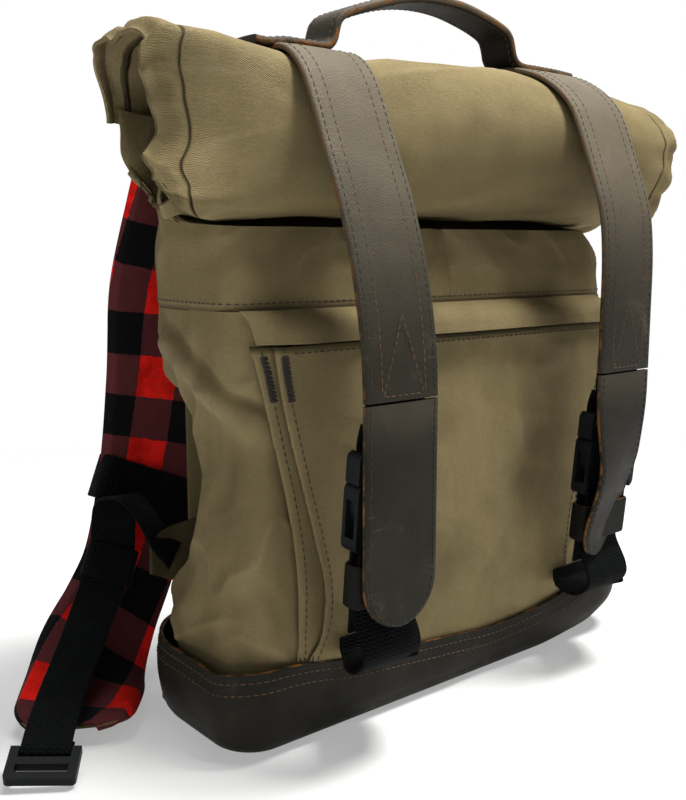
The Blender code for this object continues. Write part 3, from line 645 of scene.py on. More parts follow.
def canvas_finish(name, color, pitch, wear_and_highlight=1.0):
    """Waxed canvas: a plain weave with slubs, cloudy wax, pale folds that are partly rubbed wax and partly
    painted highlight, and painted shade in the dips, grooves and undercuts.
    """
    finish = Finish(name)
    place = finish.place()
    across, along = finish.split(finish.place("UV"))
    clouds = finish.noise(place, 13.0, 4.0, 0.62)
    streaks = finish.noise(finish.place(stretch=(1, 1, 0.4)), 70.0, 3.0, 0.6)
    slubs = finish.noise(finish.place("UV", (1.0, 2.6, 1), 0.35), 330.0, 2.0, 0.6)
    flecks = finish.noise(finish.place("UV", (2.4, 1.0, 1), 0.35), 700.0, 1.0, 0.5)
    wave = 2 * math.pi / pitch
    weave = (across * wave).sine() * (along * wave).sine()
    fold = finish.mark("fold")
    # The weave's height also adds a little painted shade between the threads.
    tone = clouds * 0.60 + streaks * 0.35 + slubs * 0.42 + flecks * 0.30 + weave * 0.06 - 0.33
    body = finish.mix(tone.clamped(), darker(color, 0.52), darker(color, 1.50))
    # Pale on the ridges of the folds: partly wax rubbed off, partly painted highlight.
    rubbed = (fold.ramp(0.10, 0.9) * (slubs * 0.9 + 0.35) * wear_and_highlight).clamped()
    body = finish.mix(rubbed * 0.50, body, (color[0] * 1.80, color[1] * 1.85, color[2] * 2.2))
    # Painted shade: darker where the fold mark is below 0, in the dips between folds.
    painted_hollow_shade = (0.0 - fold).ramp(0.05, 1.0)
    body = finish.mix(painted_hollow_shade * 0.6, body, darker(color, 0.38))
    # Painted shadow: nearly black where the fold mark is far below 0, in seam grooves, the pleats'
    # folded-back layers, under the flap and on the roll's inner turns.
    body = finish.mix((0.0 - fold).ramp(1.2, 2.6) * 0.85, body, darker(color, 0.08))
    finish.relief(weave * 0.40 + flecks * 0.6 + slubs * 0.8 + clouds * 0.4, 0.00030, 0.9)
    rough = 0.70 + clouds * 0.18
    return finish.surface(base_color=body, roughness=rough, specular_ior_level=0.08)


def leather_finish(name, color, raw, pull_up_and_highlight_tint):
    """Oiled leather: fine grain, paler bent patches that are partly painted highlight, scratches, raw tan
    edges and painted shade on the under face.
    """
    finish = Finish(name)
    place = finish.place()
    clouds = finish.noise(place, 16.0, 5.0, 0.62)
    patches = finish.noise(place, 42.0, 4.0, 0.6, 0.6)
    grain = finish.noise(place, 1500.0, 2.0, 0.5)
    cells = {"feature": "DISTANCE_TO_EDGE"}
    pores = finish.add("ShaderNodeTexVoronoi", cells, {"Vector": place, "Scale": 640.0})
    scratch = finish.noise(finish.place(stretch=(1, 1, 12), turn=0.5), 60.0, 2.0, 0.5)
    scratch = scratch.ramp(0.68, 0.75) * patches.ramp(0.48, 0.60)
    wear_and_highlight = finish.mark("wear_and_highlight")
    tone = clouds * 1.2 + patches * 0.7 - 0.45
    body = finish.mix(tone.clamped(), darker(color, 0.55), darker(color, 1.8))
    # Paler leather: partly the pull-up of bent leather, partly a painted highlight where the top light
    # falls on the straps.
    pull_up_and_highlight = wear_and_highlight * (clouds * 0.7 + patches * 0.5 + 0.40) + patches.ramp(0.60, 0.80) * 0.22
    body = finish.mix(pull_up_and_highlight.clamped(), body, pull_up_and_highlight_tint)
    body = finish.mix(scratch * 0.30, body, raw)
    # Painted shade: the under face of each strap is darkened to nearly black.
    body = finish.mix(finish.mark("under") * 0.85, body, darker(color, 0.25))
    rubbed = finish.mark("edge").ramp(0.72, 1.0) * finish.noise(place, 150.0, 4.0, 0.6).ramp(0.40, 0.66)
    body = finish.mix(rubbed.clamped(), body, raw)
    height = grain * 0.30 + pores.ramp(0.0, 0.25) * 0.35 + patches * 0.8 + clouds * 0.5 - scratch * 0.4
    finish.relief(height, 0.00040, 0.8)
    rough = 0.62 - patches * 0.26 + grain * 0.08
    return finish.surface(base_color=body, roughness=rough, specular_ior_level=0.09)


def webbing_finish(name, color, pitch=0.0021):
    """Woven webbing: rows of slanted ribs, with painted shade in the lines between them."""
    finish = Finish(name)
    across, along = finish.split(finish.place("UV"))
    wave = 2 * math.pi / pitch
    slant = (across * wave * 0.5).sine() * 1.3
    rib = ((along * wave) + slant).sine()
    cord = (across * wave * 1.6).sine()
    dust = finish.noise(finish.place(), 90.0, 3.0)
    height = rib * 0.6 + cord * 0.35
    # Painted shade: the ribs' height darkens the lines between them.
    tone = height * 0.30 + dust * 0.55 + 0.10
    body = finish.mix(tone.clamped(), darker(color, 0.5), darker(color, 2.3))
    finish.relief(height, 0.00035, 0.9)
    return finish.surface(base_color=body, roughness=0.78 - dust * 0.12, specular_ior_level=0.03)


def plaid_finish(name, red, dark, size, pitch):
    """Brushed check cloth: red, mixed and black squares with a twill line and a soft nap."""
    finish = Finish(name)
    across, along = finish.split(finish.place("UV", turn=0.08))
    nap = finish.noise(finish.place(), 240.0, 4.0, 0.7)
    wool = finish.noise(finish.place(), 60.0, 3.0, 0.6)
    shift = (nap - 0.5) * size * 0.10
    warp = (across + shift + size * 0.45).wrapped(size * 2).over(size)
    weft = (along + shift).wrapped(size * 2).over(size)
    twill = ((across + along) * (2 * math.pi / pitch)).sine() * 0.5 + 0.5
    both = warp * weft
    one = (warp - weft) * (warp - weft)
    bright = finish.mix(wool.ramp(0.3, 0.7), darker(red, 0.70), darker(red, 1.35))
    mixed = (red[0] * 0.15, red[1] + 0.012, red[2] + 0.020)
    body = finish.mix((one * (0.55 + twill * 0.35 + nap * 0.3)).clamped(), dark, mixed)
    body = finish.mix(both, body, bright)
    finish.relief(nap * 0.8 + twill * 0.3 + wool * 0.5, 0.0005, 0.8)
    return finish.surface(base_color=body, roughness=0.95, specular_ior_level=0.03, sheen_weight=0.03)


def plastic_finish(name, color):
    """Moulded plastic: a fine matt texture with rubbed, glossier patches."""
    finish = Finish(name)
    place = finish.place()
    pebble = finish.noise(place, 1400.0, 2.0)
    rubbed = finish.noise(place, 70.0, 3.0)
    body = finish.mix(rubbed.ramp(0.3, 0.8), color, darker(color, 2.2))
    finish.relief(pebble, 0.00012, 0.7)
    return finish.surface(base_color=body, roughness=0.40 + rubbed * 0.2, specular_ior_level=0.09)


def thread_finish(name, color):
    """Twisted thread: slanted plies with uneven dye."""
    finish = Finish(name)
    place = finish.place()
    dye = finish.noise(place, 130.0, 3.0)
    ply = finish.noise(place, 2600.0, 1.0)
    body = finish.mix(dye.ramp(0.3, 0.75), darker(color, 0.55), darker(color, 1.35))
    finish.relief(ply, 0.0001, 0.6)
    return finish.surface(base_color=body, roughness=0.75)


def body_ring(z, share):
    """X, Y and outer normal of the canvas body at a height, with its drawn-in sides and back corners."""
    rise = min(max((z - RIM_HEIGHT) / (SEAM_HEIGHT - RIM_HEIGHT), 0.0), 1.0)
    waist = math.sin(math.pi * rise) ** 2
    half_width = BODY_HALF_WIDTH - 0.007 * waist - 0.004 * float(ease((0.10 - z) / 0.06))
    round_back = BACK_CORNER - 0.006 * float(ease((z - 0.12) / 0.10))
    x, y = rounded_loop(share, half_width, BODY_HALF_DEPTH, BODY_CORNER, round_back)
    normal_x, normal_y = loop_normals(x, y)
    size = np.abs(x)
    fold = waist * bump(y, 0.002, 0.019) * (size > half_width - 0.02)
    drawn = float(ease((0.195 - z) / 0.030) * ease((z - 0.063) / 0.060))
    drawn = drawn * ease((y + 0.007) / 0.040) * ease((size - 0.070) / 0.05) * np.where(x < 0, 1.0, 0.5)
    x = x - np.sign(x) * (0.003 * fold + 0.030 * drawn)
    y = y - 0.004 * drawn
    return x, y, normal_x, normal_y


def body_points(shares, heights, seed):
    """Grid of points on the body, with its creases, and the value of each fold."""
    rows = []
    marks = []
    for z in heights:
        x, y, normal_x, normal_y = body_ring(z, shares)
        place = columns(x, y, z)
        side = ease((np.abs(x) - 0.105) / 0.035)
        calm = ease((SEAM_HEIGHT - z) / 0.02) * ease((z - 0.030) / 0.025)
        slant = place + (z * 0.35, z * 0.3, 0)
        soft = ripple(slant, (0.034, 0.034, 0.075), seed, 3)
        sharp = crease(slant, (0.040, 0.034, 0.110), seed + 7)
        lift = columns(0, 0, x * 0.5 + y * 0.6)
        cross = crease(place + lift, (0.09, 0.07, 0.030), seed + 17)
        low = float(bump(z, 0.062, 0.016))
        away = (z - 0.204 - 0.62 * y) * 0.85
        ridge = ease((-x - 0.116) / 0.02) * (bump(away, -0.003, 0.0070) - 0.9 * bump(away, 0.0085, 0.0035))
        height = (0.0020 + 0.0008 * side) * soft + (0.0020 + 0.0010 * side) * sharp + 0.0038 * ridge
        height = height + (0.0010 + 0.0022 * low) * cross + 0.0036 * low * (0.6 + 0.6 * soft)
        height = height * (0.12 + 0.88 * calm)
        rows.append(place + columns(normal_x * height, normal_y * height, 0))
        # Fold mark: ridges are painted paler, partly rubbed wax and partly painted highlight; dips get
        # painted shade.
        marks.append((soft * 0.35 + sharp * 0.7 + low * cross * 0.6 + ridge * 0.6) * (0.3 + 0.7 * calm))
    return np.array(rows), np.array(marks)


def corner_drop(x):
    """How far the body's front has turned back at X, round its corners."""
    past = np.clip(np.abs(x) - (BODY_HALF_WIDTH - BODY_CORNER), 0, BODY_CORNER * CORNER_REACH)
    return BODY_CORNER - np.sqrt(BODY_CORNER ** 2 - past ** 2)


def loop_share(name):
    """Shares of the body's outline where its panels meet."""
    straight = BODY_HALF_WIDTH - BODY_CORNER
    quarter = math.pi / 2 * BODY_CORNER
    side = 2 * (BODY_HALF_DEPTH - BODY_CORNER)
    total = 4 * straight + 4 * quarter + 2 * side
    seam = 0.004
    places = {
        "left_back": straight + quarter + seam,
        "left_front": straight + quarter + side - seam,
        "right_front": straight + 3 * quarter + side + 2 * straight + seam,
        "right_back": straight + 3 * quarter + 2 * side + 2 * straight - seam,
    }
    return places[name] / total


def roll_point(degrees, offset=0.0):
    """Y and Z on the rolled sheet, from 0 at the back over the top, and an offset out of the roll."""
    angle = np.radians(degrees)
    turns = np.asarray(degrees) / 360
    depth = ROLL_HALF[0] - ROLL_STEP[0] * turns
    height = ROLL_HALF[1] - ROLL_STEP[1] * turns
    ny = height * np.cos(angle)
    nz = depth * np.sin(angle)
    size = np.hypot(ny, nz)
    y = ROLL_CENTRE[0] + depth * np.cos(angle) + offset * ny / size
    z = ROLL_CENTRE[1] + height * np.sin(angle) + offset * nz / size
    return y, z


def settle(x, y, z):
    """Y and Z on the rolled top as it lies: drawn in to the left, pressed down under the left strap."""
    left_end = ease((-x - 0.115) / 0.061)
    taper = 0.12 + 0.40 * ease((0.10 - x) / 0.28) + 0.24 * left_end + 0.10 * ease((x - 0.12) / 0.056)
    ahead = y - ROLL_CENTRE[0]
    ahead = ahead * (1 - ease(-ahead / ROLL_HALF[0]) * taper - ease(ahead / 0.04) * 0.30 * left_end)
    sink = 0.0070 * bump(x, -STRAP_X, 0.055) - 0.001 * ease(x / 0.1)
    return ROLL_CENTRE[0] + ahead, z - sink * ease((z - 0.270) / 0.060)


def strap_route(side, x):
    """Route of a closure strap: up behind the collar, over the roll and down in front of it."""
    path = [(0.0540, 0.262), (0.0540, 0.287), (0.0540, 0.312)]
    for angle in range(24, 97, 12):
        y, z = settle(x, *roll_point(angle, ROLL_OUTER + 0.0003 + 0.0015))
        path.append((float(y), float(z)))
    path += STRAP_FALL[side] + ((STRAP_FRONT, STRAP_STEP),)
    line = smooth_path([(x, y, z) for y, z in path], 150)
    return Route(line, (-1, 0, 0))


def on_line(back, along):
    """Y and Z beside the closure webbing: how far behind its line, and how far along it."""
    return (LINE_START[0] + LINE_UP[0] * along + LINE_UP[1] * back,
            LINE_START[1] + LINE_UP[1] * along - LINE_UP[0] * back)


def wrap_points(along, start, end):
    """The turn of webbing round a buckle's bar."""
    angles = np.radians(np.linspace(start, end, 9))
    return [on_line(WRAP_RADIUS * math.cos(a), along + WRAP_RADIUS * math.sin(a)) for a in angles]


def pad_points(side):
    """Centres and width directions of a shoulder strap, from its top seam down."""
    if side == "right":
        points = [(0.667, 0, 1), (0.667, 0.016, 0.913), (0.70, 0.036, 0.753), (0.695, 0.044, 0.561),
                  (0.68, 0.042, 0.369), (0.667, 0.036, 0.186)]
        sides = [(1, 0, 0)] * len(points)
    else:
        points = [(-0.667, 0, 1), (-0.667, 0.0144, 0.913), (-0.707, 0.028, 0.753), (-0.727, 0.031, 0.577),
                  (-0.78, 0.029, 0.401), (-0.88, 0.024, 0.240), (-1.0, 0.018, 0.147),
                  (-1.113, 0.008, 0.093), (-1.21, -0.007, 0.066), (-1.367, -0.033, 0.042)]
        sides = [(1, 0, 0), (1, 0, 0), (1, 0, 0), (0.99, 0, -0.1), (0.96, 0, -0.28), (0.88, 0.03, -0.47),
                 (0.86, -0.05, -0.5), (0.85, -0.31, -0.42), (0.69, -0.69, -0.24), (0.32, -0.95, 0)]
    top_y, top_z = PAD_TOP
    return [(x * BASE_HALF_WIDTH, top_y + y, z * top_z) for x, y, z in points], sides


def pad_route(side):
    """Route of a shoulder strap on the face that its lining covers."""
    points, sides = pad_points(side)
    return turning_route(points, sides, 150)


def tail_line(side, band):
    """Points and width directions of the loose webbing from its fold down to its lock."""
    centre, across, normal, along = band
    if side == "left":
        points = [ARCH_END, (-0.157, 0.0645, 0.081), (-0.180, 0.051, 0.048), (-0.204, 0.030, 0.027),
                  (-0.216, 0.016, 0.019), (-0.224, 0.005, 0.014)]
        sides = [(0.90, -0.38, -0.2), (0.90, -0.38, -0.2), (0.76, -0.64, -0.1), (0.72, -0.68, -0.1),
                 (0.72, -0.68, -0.1), (0.72, -0.68, -0.1)]
    else:
        start = centre - normal * 0.0051
        leave = start + along * 0.022 - normal * WEBBING
        points = [start, leave, start + (0.004, -0.006, -0.050), start + (0.006, -0.008, -0.085)]
        sides = [across] * 4
    return points, sides


def colour(label, use, default):
    """A setting that holds a colour."""
    return bpy.props.FloatVectorProperty(
        name=label, description=use, subtype="COLOR", size=3, min=0, max=1, default=default)


def distance(label, use, default, least):
    """A setting that holds a length in metres."""
    return bpy.props.FloatProperty(name=label, description=use, default=default, min=least, unit="LENGTH")


class BackpackColours(bpy.types.PropertyGroup):
    """Colours of the backpack's materials."""

    canvas: colour("Canvas", "Waxed canvas of the body", (0.196, 0.154, 0.076))
    leather: colour("Leather", "Oiled leather of the base and straps", (0.0104, 0.0094, 0.0066))
    raw_edge: colour("Raw edge", "Cut edges of the leather", (0.180, 0.074, 0.020))
    # Pale leather: partly the pull-up of bent leather, partly a painted highlight on the lit straps.
    leather_pull_up_and_highlight: colour("Pulled-up leather", "Paler patches of bent leather", (0.128, 0.108, 0.076))
    webbing: colour("Webbing", "Woven webbing", (0.0030, 0.0034, 0.0036))
    plastic: colour("Plastic", "Buckles and locks", (0.0032, 0.0037, 0.0042))
    plaid: colour("Check", "Bright squares of the lining", (0.820, 0.016, 0.011))
    plaid_dark: colour("Check ground", "Dark squares of the lining", (0.0065, 0.0065, 0.0075))
    leather_thread: colour("Leather thread", "Thread on the leather", (0.085, 0.040, 0.015))
    canvas_thread: colour("Canvas thread", "Thread on the canvas", (0.014, 0.0115, 0.008))


class BackpackSizes(bpy.types.PropertyGroup):
    """Sizes of the backpack's fine details."""

    weave: distance("Weave", "Distance between the canvas threads", 0.0011, 0.0003)
    check: distance("Check", "Side of a square of the lining", 0.0254, 0.005)
    rumple: distance("Rumple", "Height of the folds in the roll", 0.0030, 0.0)
    stitch: distance("Stitch", "Distance between stitches", 0.0040, 0.002)


class FinishLibrary:
    """The materials, made once from the scene's colours."""

    made = {}

    @classmethod
    def get(cls, name):
        """A material by its name."""
        if name not in cls.made:
            look = bpy.context.scene.backpack_colours
            size = bpy.context.scene.backpack_sizes
            makers = {
                "canvas": (canvas_finish, "waxed_canvas", look.canvas, size.weave),
                "canvas_pad": (canvas_finish, "pad_canvas", darker(look.canvas, 0.85), size.weave, 0.5),
                # The wings' canvas is a darker copy of the canvas: painted shade, as they sit in shadow.
                "canvas_wing_in_painted_shade": (canvas_finish, "wing_canvas", darker(look.canvas, 0.30), size.weave, 0.3),
                "leather": (
                    leather_finish, "oiled_leather", look.leather, look.raw_edge, look.leather_pull_up_and_highlight),
                "webbing": (webbing_finish, "black_webbing", look.webbing),
                "plaid": (
                    plaid_finish, "check_lining", look.plaid, look.plaid_dark, size.check, TWILL_PITCH),
                "plastic": (plastic_finish, "moulded_plastic", look.plastic),
                "leather_thread": (thread_finish, "leather_thread", look.leather_thread),
                "canvas_thread": (thread_finish, "canvas_thread", look.canvas_thread),
            }
            make, *values = makers[name]
            cls.made[name] = make(*values)
        return cls.made[name]


class BACKPACK_OT_stage(bpy.types.Operator):
    """Pale floor, soft lights and the camera at the photograph's angle"""

    bl_idname = "backpack.stage"
    bl_label = "Stage"

    def execute(self, context):
        self.floor(context)
        self.world(context)
        self.lamps(context)
        self.camera(context)
        context.scene.view_settings.view_transform = "Standard"
        return {"FINISHED"}

    @staticmethod
    def floor(context):
        """Pale floor that fades to white away from the bag."""
        bpy.ops.object.select_all(action="DESELECT")
        bpy.ops.mesh.primitive_plane_add(size=FLOOR_SIZE, location=(0, 0, -FLOOR_DROP))
        floor = context.object
        floor.name = "studio_floor"
        bpy.ops.object.transform_apply(location=True, rotation=True, scale=True)
        finish = Finish("studio_floor")
        length = finish.add("ShaderNodeVectorMath", {"operation": "LENGTH"}, {0: finish.place()}, "Value")
        far = length.ramp(0.32, 0.85) * 0.65 + 0.35
        white = finish.add("ShaderNodeEmission", {}, {"Color": (1, 1, 1, 1), "Strength": 1.0})
        finish.surface(base_color=(0.93, 0.94, 0.94, 1), roughness=0.9, specular_ior_level=0.0)
        shader = Socket(finish, finish.shader.outputs[0])
        mixed = finish.add("ShaderNodeMixShader", {}, {0: far * finish.seen(), 1: shader, 2: white})
        finish.links.new(mixed.socket, finish.nodes["Material Output"].inputs["Surface"])
        floor.data.materials.append(finish.material)

    @staticmethod
    def world(context):
        """Dim sky for the light, plain white where it is seen."""
        world = bpy.data.worlds.new("studio")
        context.scene.world = world
        world.use_nodes = True
        graph = Graph(world.node_tree)
        graph.nodes.clear()
        light = graph.add("ShaderNodeBackground", {}, {"Color": (0.93, 0.96, 1.0, 1), "Strength": 0.06})
        white = graph.add("ShaderNodeBackground", {}, {"Color": (1, 1, 1, 1), "Strength": 1.0})
        mixed = graph.add("ShaderNodeMixShader", {}, {0: graph.seen(), 1: light, 2: white})
        graph.join(graph.nodes.new("ShaderNodeOutputWorld").inputs["Surface"], mixed)

    @staticmethod
    def lamps(context):
        """Three square lamps, each with its place, target, size, power and colour."""
        lamps = (
            ("key", (0.36, -0.45, 1.64), (0.0, -0.05, 0.20), 0.45, 41.0, (1.0, 0.98, 0.94)),
            ("top", (0.0, 0.05, 1.20), (0.0, -0.03, 0.28), 0.5, 6.0, (1.0, 1.0, 1.0)),
            ("fill", (-1.1, -0.75, 0.50), (-0.05, 0.0, 0.16), 0.8, 2.6, (0.97, 0.99, 1.0)),
        )
        for name, place, target, size, power, color in lamps:
            bpy.ops.object.select_all(action="DESELECT")
            bpy.ops.object.light_add(type="AREA", location=place)
            lamp = context.object
            lamp.name = name
            lamp.data.size = size
            lamp.data.energy = power
            lamp.data.color = color
            lamp.rotation_euler = (Vector(target) - Vector(place)).to_track_quat("-Z", "Y").to_euler()

    @staticmethod
    def camera(context):
        """Camera at the place and angle fitted to the photograph."""
        bpy.ops.object.camera_add(location=CAMERA_PLACE)
        camera = context.object
        camera.name = "photo_camera"
        pitch = math.radians(CAMERA_PITCH)
        yaw = math.radians(CAMERA_YAW)
        camera.rotation_euler = (math.pi / 2 - pitch, 0.0, -yaw)
        camera.data.sensor_fit = "HORIZONTAL"
        camera.data.sensor_width = SENSOR_WIDTH
        camera.data.lens = SENSOR_WIDTH * FOCAL_PIXELS / PHOTO_WIDTH
        camera.data.clip_start = 0.01
        context.scene.camera = camera


class BACKPACK_OT_base(bpy.types.Operator):
    """Leather base with its curved rim, its two rows of stitches and its board"""

    bl_idname = "backpack.base"
    bl_label = "Leather base"

    @staticmethod
    def rim(x, y):
        """Height of the rim: it dips along the front and climbs to the right."""
        path = smooth_path([(-0.152, 0.0450), (-0.140, 0.0480), (-0.113, 0.0470), (-0.069, 0.0400),
                            (0.0, 0.0335), (0.041, 0.0310), (0.089, 0.0350), (0.118, 0.0460),
                            (0.138, 0.0600), (0.152, 0.0650)], 120)
        front = np.interp(x, path[:, 0], path[:, 1])
        back = ease((y + BASE_HALF_DEPTH) / (2 * BASE_HALF_DEPTH))
        return front + (0.046 - front) * back

    @staticmethod
    def fill_floor(obj):
        """Close the open edge on the floor, and leave the rim open."""
        select_only(obj)
        bpy.ops.object.mode_set(mode="EDIT")
        bpy.ops.mesh.select_mode(type="EDGE")
        bpy.ops.mesh.select_all(action="SELECT")
        bpy.ops.mesh.select_non_manifold(extend=False)
        bpy.ops.object.mode_set(mode="OBJECT")
        for item in obj.data.edges:
            ends = [obj.data.vertices[k].co for k in item.vertices]
            item.select = item.select and max(e.z for e in ends) < 0.001
        bpy.ops.object.mode_set(mode="EDIT")
        bpy.ops.mesh.edge_face_add()
        bpy.ops.object.mode_set(mode="OBJECT")

    def execute(self, context):
        share = np.linspace(0, 1, 361)
        rows = []
        foot = 0.0095
        front_radius, back_radius, least_radius = 0.024, 0.046, 0.006
        profile = [(0.030, 0.0), (0.012, 0.0), (0.0085, 0.0004), (0.0055, 0.0015), (0.0030, 0.0034),
                   (0.0012, 0.0062), (0.0003, foot)]
        for inset, height in profile:
            x, y = rounded_loop(share, BASE_HALF_WIDTH - inset, BASE_HALF_DEPTH - inset,
                                max(front_radius - inset * 0.5, least_radius),
                                max(back_radius - inset * 0.5, least_radius))
            rows.append(columns(x, y, height))
        x, y = rounded_loop(share, BASE_HALF_WIDTH, BASE_HALF_DEPTH, front_radius, back_radius)
        normal_x, normal_y = loop_normals(x, y)
        top = self.rim(x, y)
        for step in np.linspace(0.1, 1.0, 26):
            z = foot + (top - foot) * step
            place = columns(x, y, z)
            dent = ripple(place, (0.050, 0.050, 0.030), 31, 3)
            front = ease((-y - 0.02) / 0.03)
            swell = 0.0018 * math.sin(math.pi * step) + (0.0012 + 0.0016 * front) * step + 0.0009 * dent
            rows.append(place + columns(normal_x * swell, normal_y * swell, 0))
        rows = np.array(rows)
        corner = ease((rows[..., 0] - 0.085) / 0.060) * ease((0.010 - rows[..., 1]) / 0.050)
        bulge = corner * bump(rows[..., 2], 0.028, 0.020)
        lift = 0.0060 * corner * ease((0.024 - rows[..., 2]) / 0.024)
        rows = rows + columns(0.016 * bulge, -0.004 * bulge, lift)
        edge = np.zeros(rows.shape[:2])
        edge[-1] = 1.0
        edge[-2] = 0.12
        obj = lay_cloth("base_leather", rows, closed=True, marks={"edge": edge})
        self.fill_floor(obj)
        apply_modifier(obj, "SOLIDIFY", thickness=0.0022, offset=-1, use_even_offset=False)
        finish_piece(obj, "bag", "leather", ["leather_base"])

        normals = grid_normals(rows)
        lines = []
        for below in (0.0045, 0.0105):
            line = []
            facing = []
            for k in range(rows.shape[1]):
                wall = slice(len(profile), None)
                heights = rows[wall, k, 2]
                want = heights[-1] - below
                line.append([np.interp(want, heights, rows[wall, k, a]) for a in range(3)])
                facing.append([np.interp(want, heights, normals[wall, k, a]) for a in range(3)])
            lines.append((np.array(line) + np.array(facing) * 0.0001, np.array(facing)))
        pitch = context.scene.backpack_sizes.stitch
        sew("base_stitches", lines, "bag", "leather_thread", pitch)

        coat(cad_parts["base_board"], "plastic")
        return {"FINISHED"}


class BACKPACK_OT_body(bpy.types.Operator):
    """Canvas front, back and side panels with their folds and seams"""

    bl_idname = "backpack.body"
    bl_label = "Canvas body"

    def execute(self, context):
        heights = np.linspace(0.012, SEAM_HEIGHT - 0.0006, 120)
        spans = {
            "front_panel": np.linspace(loop_share("left_front"), loop_share("right_front"), 220),
            "left_gusset": np.linspace(loop_share("left_back"), loop_share("left_front"), 60),
            "right_gusset": np.linspace(loop_share("right_front"), loop_share("right_back"), 60),
        }
        back = np.concatenate([np.linspace(loop_share("right_back"), 1, 110),
                               np.linspace(0, loop_share("left_back"), 110)[1:]])
        spans["back_panel"] = back
        for node, shares in spans.items():
            points, marks = body_points(shares, heights, 11)
            obj = lay_cloth(node + "_cloth", points, thickness=CANVAS, marks={"fold": marks})
            finish_piece(obj, "bag", "canvas", [node])
            cut_cloth(points)
        return {"FINISHED"}


class BACKPACK_OT_collar(bpy.types.Operator):
    """Collar between the seam and the roll, with a row of stitches at its foot"""

    bl_idname = "backpack.collar"
    bl_label = "Collar"

    def execute(self, context):
        low = SEAM_HEIGHT - 0.0012
        top_y, top_z = (float(v) for v in roll_point(ROLL_START + 10, -0.0030))
        under = [tuple(float(v) for v in roll_point(a, 0.0064)) for a in (258, 282, 306, 328)]
        bend = under[0][1] - 0.006
        half_gap = 0.0024
        top_half_width = 0.167
        front = [(-BODY_HALF_DEPTH, low), (-BODY_HALF_DEPTH + 0.004, (low + bend) / 2)]
        front += [(-BODY_HALF_DEPTH + 0.011, bend), *under, (top_y - half_gap, top_z)]
        front = np.array(front)
        last = len(front) - 1
        place = np.arange(last + 1)
        level = np.linspace(0, last, 90)
        front_y = np.interp(level, place, front[:, 0])
        front_z = np.interp(level, place, front[:, 1])
        share = np.clip((level - 2) / (last - 2), 0, 1)
        back_z = np.where(level < 2, low + (bend - low) * level / 2, bend + (top_z - bend) * share)
        back_y = BODY_HALF_DEPTH + (top_y + half_gap - BODY_HALF_DEPTH) * ease(share)
        half_width = BODY_HALF_WIDTH + (top_half_width - BODY_HALF_WIDTH) * ease(share) ** 2
        rows = []
        marks = []
        around = np.linspace(0, 1, 401)
        for k in range(len(level)):
            span = np.array([back_y[k] - front_y[k], back_z[k] - front_z[k]])
            depth = np.linalg.norm(span)
            radius = min(BODY_CORNER, depth * 0.45)
            x, v = rounded_loop(around, half_width[k], depth / 2, radius, min(0.038, depth * 0.45))
            normal_x, normal_v = loop_normals(x, v)
            part = v / depth + 0.5
            y = front_y[k] + span[0] * part
            z = front_z[k] + span[1] * part
            points = columns(x, y, z)
            flare = ease((level[k] - 0.15) / 1.5)
            slant = points + columns(np.sign(x) * z * 0.6, 0, 0)
            soft = ripple(slant, (0.040, 0.060, 0.050), 41, 3)
            sharp = crease(slant, (0.045, 0.060, 0.070), 47)
            corner = ease((np.abs(x) - 0.11) / 0.04)
            height = (0.0022 * soft + (0.0016 + 0.0034 * corner) * sharp) * flare
            groove = math.exp(-(level[k] / 0.10) ** 2)
            height = height + 0.0008 * (1 - groove)
            lean = normal_v * height / depth
            points = points + columns(normal_x * height, lean * span[0], lean * span[1])
            points[:, 1], points[:, 2] = settle(x, points[:, 1], points[:, 2])
            rows.append(points)
            # Painted shadow: the groove at the collar's foot, on the seam, gets a mark far below 0 and
            # shows nearly black.
            marks.append((soft * 0.35 + sharp) * flare - 2.4 * groove)
        rows = np.array(rows)
        obj = lay_cloth("collar_cloth", rows, closed=True, thickness=CANVAS, marks={"fold": marks})
        finish_piece(obj, "bag", "canvas", ["collar"])
        cut_cloth(rows)
        normals = grid_normals(rows)
        k = int(np.argmin(np.abs(rows[:, 200, 2] - (low + 0.0044))))
        line = (rows[k] + normals[k] * 0.0002, normals[k])
        sew("collar_stitches", [line], "bag", "canvas_thread")
        return {"FINISHED"}


